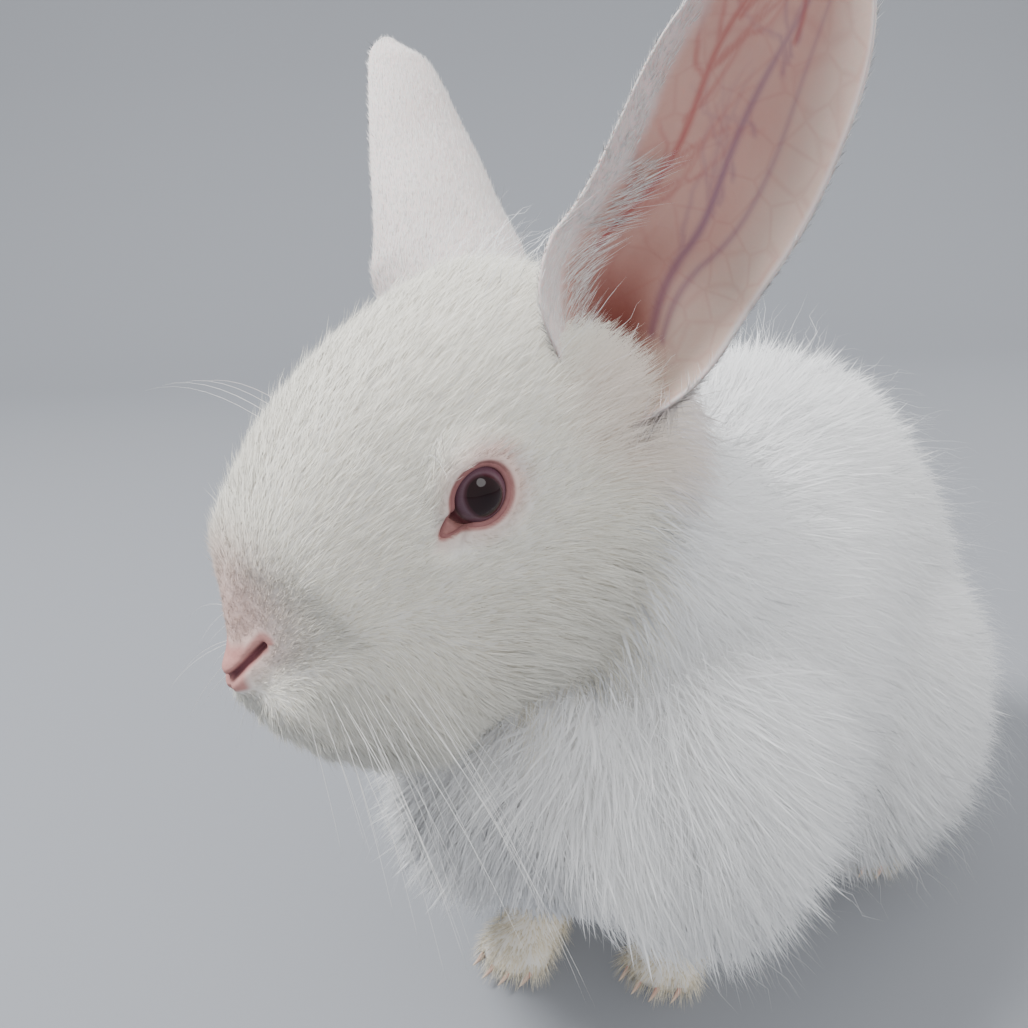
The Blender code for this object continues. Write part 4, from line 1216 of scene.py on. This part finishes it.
class RabbitCoat(bpy.types.PropertyGroup):
    """Sizes and numbers of the coat."""

    skin_voxel: FloatProperty(
        name="Skin voxel", description="Grain of the skin's mesh", default=2.2 * MM, unit="LENGTH"
    )
    wool_hairs: IntProperty(name="Wool hairs", description="Long hairs of the body", default=90000)
    wool_width: FloatProperty(
        name="Wool width", description="Width of one long hair", default=0.33 * MM, unit="LENGTH"
    )
    down_hairs: IntProperty(name="Down", description="Short down under the wool", default=38000)
    wisps: IntProperty(name="Wisps", description="Loose curly hairs over the wool", default=4200)
    face_hairs: IntProperty(name="Face hairs", description="Short hairs of the head", default=81000)
    face_width: FloatProperty(
        name="Face hair width", description="Width of a short hair", default=0.29 * MM, unit="LENGTH"
    )
    lashes: IntProperty(name="Lashes", description="Lashes of one eye", default=46)
    foot_hairs: IntProperty(name="Foot hairs", description="Short hairs of the feet", default=14000)
    ear_hairs: IntProperty(name="Ear hairs", description="Roots of down on one ear", default=34000)


class RabbitStage(bpy.types.PropertyGroup):
    """Floor, light and camera."""

    floor_colour: FloatVectorProperty(
        name="Floor", description="Colour of the floor", subtype="COLOR", default=linear("#8F9298")[:3]
    )
    camera_azimuth: FloatProperty(
        name="Azimuth",
        description="How far the camera stands to the rabbit's left of straight ahead",
        default=math.radians(35.5),
        subtype="ANGLE",
    )
    camera_elevation: FloatProperty(
        name="Elevation", description="Camera above level", default=math.radians(18.6), subtype="ANGLE"
    )
    camera_roll: FloatProperty(
        name="Roll", description="Camera's tilt to its side", default=math.radians(-2.6), subtype="ANGLE"
    )
    view_angle: FloatProperty(
        name="View angle", description="Width of the view", default=math.radians(49.95), subtype="ANGLE"
    )


# Where the camera stands in the rabbit's own frame.
CAMERA_PLACE = np.array((164.6, -339.0, 272.2))
# Each lamp's name, its place and size in metres and its power in watts.
LAMPS = (
    ("key_light", (-0.75, -0.75, 1.7), 0.55, 50),
    ("fill_light", (1.4, -0.5, 1.5), 1.2, 17),
    ("back_light", (0.3, 1.2, 1.3), 1.0, 11),
)


class RABBIT_OT_skin(bpy.types.Operator):
    """One skin over head, neck, body, legs and tail"""

    bl_idname = "rabbit.skin"
    bl_label = "Skin"

    def execute(self, context):
        forms = body_forms()
        skin = new_mesh("skin", np.concatenate(forms.points), forms.faces)
        mesh_again = skin.modifiers.new("remesh", "REMESH")
        mesh_again.mode = "VOXEL"
        mesh_again.voxel_size = context.scene.rabbit_coat.skin_voxel
        evaluated(skin)
        softer = skin.modifiers.new("smooth", "SMOOTH")
        softer.factor, softer.iterations = 0.5, 10
        evaluated(skin)
        features = [(head_place(66, 0, -10), 30), (head_place(68, 0, -8), 23)]
        for side in (1, -1):
            features += [(eye_frame(side)[0], 19), (eye_frame(side)[0], 17)]
        refine(skin, features)
        points = places(skin)
        bare, deep = shape_nose(points)
        lids = shape_lids(points)
        # The dark colour that is painted shade at the nose also darkens the lids and their rims evenly.
        bare, deep = np.maximum(bare, lids), np.maximum(deep, 0.35 * lids)
        points[:, 2] = np.maximum(points[:, 2], 0.3)
        points = (points + SHIFT) * MM
        skin.data.vertices.foreach_set("co", points.astype(np.float32).ravel())
        skin.data.update()
        rims = lid_rims()
        rims = new_mesh("rims", np.concatenate(rims.points), rims.faces)
        count = len(rims.data.vertices)
        with context.temp_override(
            active_object=skin, object=skin, selected_editable_objects=[skin, rims]
        ):
            bpy.ops.object.join()
        give(skin, "bare", np.concatenate([bare, np.ones(count)]))
        give(skin, "deep", np.concatenate([deep, np.full(count, 0.6)]))
        give(skin, "blush", blush_share(places(skin)))
        skin.data.shade_smooth()
        unwrap(skin)
        nodes = ["head", "neck", "chest", "torso", "tail"]
        nodes += [leg + side for leg in ("foreleg_", "hindleg_") for side in ("left", "right")]
        finish_piece(skin, skin_material(), "short_coat", *nodes)
        return {"FINISHED"}


class RABBIT_OT_wool(bpy.types.Operator):
    """The long wool of neck, chest, back, flanks, rump and tail"""

    bl_idname = "rabbit.wool"
    bl_label = "Wool"

    def execute(self, context):
        coat = context.scene.rabbit_coat
        skin = bpy.data.objects["skin"]
        white = fur_material("angora_wool_root_shaded", "#DEDDDB", "#F2F3F4", "#FBFCFD", 0.75)

        def cover(p, n):
            short = np.maximum(head_share(p), leg_share(p))
            hidden = 0.55 * ease(-0.4, -0.9, n[:, 2])
            return np.clip(1 - short, 0, 1) ** 1.5 * (1 - hidden)

        roots = Roots(skin, coat.down_hairs, 190, cover)
        count = len(roots.p)
        length = coat_length(roots.p, roots.n) * (0.72 + 0.2 * roots.rng.random(count))
        lift = np.radians(48 + 9 * roots.rng.normal(size=count))
        paths, widths = grow_hair(roots, length, lift, lift * 0.5, 1.9, 1, 0.1)
        trim(paths, roots.p)
        spikes("under_down", paths, widths, roots, white, "white_wool", 9)
        parts = 4
        for i in range(parts):
            count = coat.wool_hairs // parts
            roots = Roots(skin, count, 100 + i, cover)
            length = coat_length(roots.p, roots.n) * (0.76 + 0.3 * roots.rng.random(count))
            lift = np.radians(60 + 10 * roots.rng.normal(size=count))
            settle = np.radians(22 + 12 * roots.rng.normal(size=count))
            paths, widths = grow_hair(
                roots, length, lift, settle, coat.wool_width / MM, 2, 0.27, ((240, 0.2), (26, 0.14))
            )
            trim(paths, roots.p)
            spikes("wool_%d" % (i + 1), paths, widths, roots, white, "white_wool", i)

        def loose_cover(p, n):
            s, _, t = in_head(p)
            crown = 0.8 * ease(-20, -44, s) * ease(-10, 14, t)
            return np.maximum(cover(p, n), crown * head_share(p))

        roots = Roots(skin, coat.wisps, 195, loose_cover)
        count = len(roots.p)
        length = coat_length(roots.p, roots.n) + 4 + 11 * roots.rng.random(count)
        length = np.maximum(length, 16 + 10 * roots.rng.random(count))
        lift = np.radians(64 + 12 * roots.rng.normal(size=count))
        paths, widths = grow_hair(
            roots, length, lift, lift - 0.5, 0.17, 6, 0.32, ((40, 0.3),), loose_by=0.34
        )
        trim(paths, roots.p)
        spikes("wool_wisps", paths, widths, roots, white, "white_wool", 12)
        return {"FINISHED"}


class RABBIT_OT_short_fur(bpy.types.Operator):
    """The short fur of head and feet"""

    bl_idname = "rabbit.short_fur"
    bl_label = "Short fur"

    def execute(self, context):
        coat = context.scene.rabbit_coat
        skin = bpy.data.objects["skin"]
        cream = fur_material("short_fur_root_shaded", "#E2DAC8", "#F0ECDE", "#FBF9EF", 0.55)
        straw = fur_material("foot_fur_root_shaded", "#CDBF9F", "#E8DEC6", "#F4EEDF", 0.75)

        def face(p, n):
            s, _, _ = in_head(p)
            return head_share(p) * (1 + 0.7 * ease(30, 60, s)) * (eye_nearness(p) < 0.985)

        parts = 3
        for i in range(parts):
            count = coat.face_hairs // parts
            roots = Roots(skin, count, 200 + i, face)
            s, _, t = in_head(roots.p)
            cheek = ease(-8, -42, t) * ease(48, 2, s)
            length = coat_length(roots.p, roots.n) * (0.75 + 0.4 * roots.rng.random(count))
            tuft = ear_base_share(roots.p)
            guard = roots.rng.random(count) < 0.1
            length[guard] *= 1.2
            lift = 29 + 16 * cheek + 22 * tuft + 14 * guard + 6 * roots.rng.normal(size=count)
            settle = 12 + 10 * cheek + 14 * tuft + 14 * guard + 6 * roots.rng.normal(size=count)
            width = coat.face_width / MM * np.where(guard, 0.6, 1.0)[:, None]
            steps = 1 if i else 2
            paths, widths = grow_hair(
                roots, length, np.radians(lift), np.radians(settle), width, steps, 0.05, ((16, 0.2),)
            )
            spikes("face_fur_%d" % (i + 1), paths, widths, roots, cream, "short_coat", i + 20)

        def feet(p, n):
            return leg_share(p) * (1 - 0.9 * ease(-0.5, -0.9, n[:, 2]))

        roots = Roots(skin, coat.foot_hairs, 300, feet)
        length = coat_length(roots.p, roots.n) * (0.75 + 0.4 * roots.rng.random(len(roots.p)))
        lift = np.radians(42 + 9 * roots.rng.normal(size=len(roots.p)))
        paths, widths = grow_hair(
            roots, length, lift, lift * 0.5, coat.face_width / MM, 1, 0.05, ((14, 0.2),)
        )
        spikes("foot_fur", paths, widths, roots, straw, "short_coat", 40)
        return {"FINISHED"}


class RABBIT_OT_claws(bpy.types.Operator):
    """The claws at the tips of the toes, half hidden in the fur"""

    bl_idname = "rabbit.claws"
    bl_label = "Claws"

    def execute(self, context):
        claws, along = Solid(), []
        way = unit((0, -0.82, -0.3))
        across, up = np.array((1.0, 0, 0)), unit(np.cross((1.0, 0, 0), way))
        share = np.linspace(0, 1, 8)
        spin = 2 * np.pi * np.arange(10)[:, None] / 10
        for side in (1, -1):
            paw = np.array(FORE_PAWS[side], float)
            toes = [(toe, 5.0) for toe in toes_of(paw + (0, 0, 6.4), 6.4, -15, 1.6)]
            hind = (side * HIND_FOOT_X, HIND_TOE_Y, 6)
            toes += [(toe, 8.0) for toe in toes_of(hind, 5.6, 4, 1.4)]
            for toe, reach in toes:
                rings = []
                for k in share:
                    middle = toe + (0, -reach, -0.6) + way * CLAW_LENGTH * k - up * 1.7 * k * k
                    radius = CLAW_RADIUS * (1 - k) ** 0.7 + 0.06
                    rings.append(middle + radius * (across * 0.75 * np.cos(spin) + up * np.sin(spin)))
                    along.append(np.full(len(spin), k))
                claws.loft(rings)
        points = np.concatenate(claws.points)
        points[:, 2] = np.maximum(points[:, 2], FLOOR_CLEAR)
        made = new_mesh("claws", points, claws.faces)
        give(made, "along", np.concatenate(along))
        finish_piece(made, claw_material(), "short_coat")
        return {"FINISHED"}


class RABBIT_OT_ears(bpy.types.Operator):
    """Both ears, with their velvet and the fringe along their edges"""

    bl_idname = "rabbit.ears"
    bl_label = "Ears"

    def execute(self, context):
        coat = context.scene.rabbit_coat
        material = ear_material()
        down = fur_material("ear_velvet_root_shaded", "#EADFDA", "#F6F2EF", "#FBFAF9", 0.7)
        for side, word in ((1, "left"), (-1, "right")):
            rng = np.random.default_rng(400 + side)
            ear = make_ear("ear_skin_" + word, side, material, rng)
            roots = Roots(ear, coat.ear_hairs, 410 + side, lambda p, n: 1 + 0 * p[:, 0])
            inner = roots.uv[:, 0] > 0.5
            u = (roots.uv[:, 1] - 0.02) / 0.96
            v = ((roots.uv[:, 0] - 0.5 * inner) - 0.02) / 0.46 * 2 - 1
            m, edge = side * v, np.abs(v) > 0.9
            fringe = inner & (u < 0.5) & (np.abs(m - 0.55 - 0.3 * (u - 0.2)) < 0.16)
            wanted = ~inner | (m > 0.72 - 0.2 * (0.4 - u)) | fringe
            wanted &= (u < 0.985) & (rng.random(len(u)) < np.where(u < 0.12, 1.0, 0.58))
            roots.keep(wanted)
            inner, u, v, edge, fringe = (a[wanted] for a in (inner, u, v, edge, fringe))
            count = len(u)
            point, _ = ear_sheet(u, v, side)
            ahead, _ = ear_sheet(np.minimum(u + 0.01, 1), v, side)
            aside, _ = ear_sheet(u, np.clip(v + 0.02, -1, 1), side)
            back, _ = ear_sheet(u, np.clip(v - 0.02, -1, 1), side)
            to_tip, over = unit(ahead - point), unit(aside - back)
            long = fringe & (rng.random(count) < 0.5)
            length = 2.4 + 1.2 * rng.random(count) + 6.5 * ease(0.26, 0.02, u) * (~inner)
            length = np.where(long, 6 + 7 * rng.random(count), length)
            root = ~inner & (u < 0.1 + 0.04 * rng.random(count)) & (rng.random(count) < 0.6)
            to_tip[root] = -to_tip[root] + 0.5 * over[root] * rng.normal(size=(root.sum(), 1))
            length = np.where(root, 8 + 7 * rng.random(count), length)
            stand = np.radians(np.where(long | root, 28, 15) + 5 * rng.normal(size=count))
            turn = np.where(edge, np.sign(v) * 0.35, np.where(fringe, -side * 0.35, 0.10 * v))
            flow = to_tip + over * turn[:, None] + rng.normal(size=(count, 3)) * 0.10
            flow = unit(flow - (flow * roots.n).sum(1, keepdims=True) * roots.n)
            way_one = flow * np.cos(stand)[:, None] + roots.n * np.sin(stand)[:, None]
            base = roots.p - roots.n * 0.15
            tip = base + way_one * length[:, None]
            width = np.where(long, 0.16, 0.22)
            paths = np.stack([base, tip], axis=1)
            widths = np.stack([width, width * 0.1], axis=1)
            spikes("ear_velvet_" + word, paths, widths, roots, down, "short_coat", 50 + side)
        return {"FINISHED"}


class RABBIT_OT_eyes(bpy.types.Operator):
    """Both eyes and their lashes"""

    bl_idname = "rabbit.eyes"
    bl_label = "Eyes"

    def execute(self, context):
        coat = context.scene.rabbit_coat
        material = eye_material()
        lash = fur_material("lashes_and_whiskers_root_shaded", "#F2EEE8", "#F7F5F1", "#FBFAF8", 0.4)
        for side, word in ((1, "left"), (-1, "right")):
            make_eye("eyeball_" + word, side, material)
            rng = np.random.default_rng(500 + side)
            centre, out, _, up, fore = eye_frame(side)
            count = coat.lashes
            angle = np.radians(72 + 95 * rng.random(count))
            edge = lid_reach(angle) + 0.7
            flat = np.cos(angle)[:, None] * fore + np.sin(angle)[:, None] * up
            base = centre + flat * edge[:, None] + out * (lid_height(edge) + 0.1)[:, None]
            way = unit(out * 0.9 + flat * 0.5 - fore * 0.8 + rng.normal(size=(count, 3)) * 0.14)
            length = (6 + 6 * rng.random(count) * ease(0.6, -0.6, np.cos(angle)))[:, None]
            sweep = unit(way - fore * 0.9 - up * 0.35 - out * 0.25)
            middle = base + way * length * 0.4
            paths = np.stack([base, middle, middle + sweep * length * 0.6], axis=1)
            widths = np.array((0.26, 0.2, 0.03))[None] * np.ones((count, 1))
            roots = Bare(base, out + 0 * base, rng)
            spikes("lashes_" + word, paths, widths, roots, lash, "short_coat", 60 + side, False)
        return {"FINISHED"}


class RABBIT_OT_whiskers(bpy.types.Operator):
    """Whiskers of lip, brow and cheek"""

    bl_idname = "rabbit.whiskers"
    bl_label = "Whiskers"

    def execute(self, context):
        white = bpy.data.materials["lashes_and_whiskers_root_shaded"]
        skin = bpy.data.objects["skin"]
        tree = BVHTree.FromObject(skin, context.evaluated_depsgraph_get())
        for side, word in ((1, "left"), (-1, "right")):
            rng = np.random.default_rng(700 + side)
            bases, ways, lengths = [], [], []
            for row in range(5):
                for k in range(6):
                    s = 68 - k * 4.2 + rng.normal() * 0.8
                    t = -5 - row * 3.6 + rng.normal() * 0.8
                    start = head_place(s, side * 60, t)
                    hit = tree.ray_cast(Vector((start + SHIFT) * MM), Vector(-side * B_WAY))
                    if hit[0] is None:
                        continue
                    bases.append(np.array(hit[0]) / MM - SHIFT)
                    droop = WHISKER_DROOP[side] + 0.16 * row + 0.2 * rng.normal()
                    ways.append(
                        side * B_WAY * (0.9 + 0.2 * rng.normal())
                        + S_WAY * (WHISKER_SWEEP[side] - 0.12 * k + 0.12 * rng.normal())
                        - np.array((0, 0, 1.0)) * droop
                    )
                    longest = WHISKER_LENGTH[side] + 9 * k
                    lengths.append(longest * (0.6 + 0.5 * rng.random()))
            for k in range(4):
                centre, out, _, up, _ = eye_frame(side)
                base = centre + up * (11 + k) + S_WAY * (2 + 2.5 * k) + out * 1.0
                bases.append(base)
                ways.append(out * 1.0 + up * (0.9 - 0.1 * k) - S_WAY * 0.1)
                lengths.append(38 + 6 * k)
            bases, ways = np.array(bases), unit(np.array(ways))
            lengths = np.array(lengths)[:, None]
            steps = 9
            paths = [bases]
            for i in range(steps):
                share = (i + 0.5) / steps
                sag = np.array((0, 0, -1.0)) * 0.75 * share**1.5
                paths.append(paths[-1] + unit(ways + sag) * lengths / steps)
            paths = np.stack(paths, axis=1)
            paths[:, :, 2] = np.maximum(paths[:, :, 2], FLOOR_CLEAR)
            widths = 0.17 * (1 - np.linspace(0, 1, steps + 1) ** 1.4 * 0.75)
            roots = Bare(bases, side * B_WAY + 0 * bases, rng)
            spikes(
                "whiskers_" + word, paths, widths[None] * np.ones((len(bases), 1)),
                roots, white, "short_coat", 70 + side, False, 0.8
            )
        return {"FINISHED"}


class RABBIT_OT_stage(bpy.types.Operator):
    """A pale floor, soft light and the camera"""

    bl_idname = "rabbit.stage"
    bl_label = "Stage"

    def execute(self, context):
        stage = context.scene.rabbit_stage
        side, rise, back = 3000, 1600, 1500
        profile = [(-2500, 0.0), (back - 500, 0.0)]
        for k in range(1, 9):
            angle = math.pi / 2 * k / 8
            profile.append((back - 500 + 500 * math.sin(angle), 500 * (1 - math.cos(angle))))
        profile.append((back, rise))
        c, s = math.cos(stage.camera_azimuth), math.sin(stage.camera_azimuth)
        points = [(x * c - y * s, x * s + y * c, z) for x in (-side, side) for y, z in profile]
        n = len(profile)
        faces = [(i, i + n, i + n + 1, i + 1) for i in range(n - 1)]
        floor = new_mesh("floor", points, faces)
        # Matt paper: an even pale grey without gloss.
        numbers = {"Roughness": 0.85, "Base Color": (*stage.floor_colour, 1)}
        floor.data.materials.append(new_material("matt_paper_floor", numbers)[0])

        # The lamps without shadow already light the depth of the coat, so one bounce is enough.
        context.scene.cycles.diffuse_bounces = 1
        context.scene.cycles.glossy_bounces = 1
        # Long thin hairs are found faster in a search tree that may split them.
        context.scene.cycles.debug_use_spatial_splits = True
        world = bpy.data.worlds.new("studio")
        context.scene.world = world
        world.use_nodes = True
        world.cycles.sampling_method = "NONE"
        world.node_tree.nodes["Background"].inputs["Color"].default_value = linear("#F2F3F5")
        world.node_tree.nodes["Background"].inputs["Strength"].default_value = 0.78
        aim = Vector((0, 0, 0.12))
        for name, place, size, power in LAMPS:
            lamp = bpy.data.lights.new(name, "AREA")
            lamp.shape, lamp.size, lamp.energy = "DISK", size, power
            # Only the key casts a shadow, so that light reaches into the depth of the wool.
            lamp.use_shadow = name == "key_light"
            lamp_object = bpy.data.objects.new(name, lamp)
            lamp_object.location = place
            lamp_object.rotation_euler = (aim - Vector(place)).to_track_quat("-Z", "Y").to_euler()
            context.scene.collection.objects.link(lamp_object)

        az, el, roll = stage.camera_azimuth, stage.camera_elevation, stage.camera_roll
        look = np.array((-math.sin(az) * math.cos(el), math.cos(az) * math.cos(el), -math.sin(el)))
        right = unit(np.cross(look, (0, 0, 1)))
        up = np.cross(right, look)
        tilted = math.cos(roll) * right + math.sin(roll) * up
        upright = -math.sin(roll) * right + math.cos(roll) * up
        place = np.eye(4)
        place[:3, 0], place[:3, 1], place[:3, 2] = tilted, upright, -look
        place[:3, 3] = (CAMERA_PLACE + SHIFT) * MM
        camera = bpy.data.cameras.new("camera")
        camera.angle = stage.view_angle
        camera.clip_start = 0.01
        camera_object = bpy.data.objects.new("camera", camera)
        camera_object.matrix_world = Matrix(place.tolist())
        context.scene.collection.objects.link(camera_object)
        context.scene.camera = camera_object
        return {"FINISHED"}


class RABBIT_PT_panel(bpy.types.Panel):
    """The steps that build the rabbit"""

    bl_idname = "RABBIT_PT_panel"
    bl_label = "Angora rabbit"
    bl_space_type = "VIEW_3D"
    bl_region_type = "UI"
    bl_category = "Rabbit"

    def draw(self, context):
        for step in STEPS:
            self.layout.operator(step.bl_idname)


STEPS = (
    RABBIT_OT_skin,
    RABBIT_OT_ears,
    RABBIT_OT_eyes,
    RABBIT_OT_wool,
    RABBIT_OT_short_fur,
    RABBIT_OT_claws,
    RABBIT_OT_whiskers,
    RABBIT_OT_stage,
)
CLASSES = (RabbitCoat, RabbitStage, *STEPS, RABBIT_PT_panel)


def register():
    for cls in CLASSES:
        bpy.utils.register_class(cls)
    bpy.types.Scene.rabbit_coat = PointerProperty(type=RabbitCoat)
    bpy.types.Scene.rabbit_stage = PointerProperty(type=RabbitStage)


def unregister():
    del bpy.types.Scene.rabbit_stage
    del bpy.types.Scene.rabbit_coat
    for cls in reversed(CLASSES):
        bpy.utils.unregister_class(cls)


def main():
    register()
    for step in STEPS:
        group, name = step.bl_idname.split(".")
        getattr(getattr(bpy.ops, group), name)()


if __name__ == "__main__":
    main()
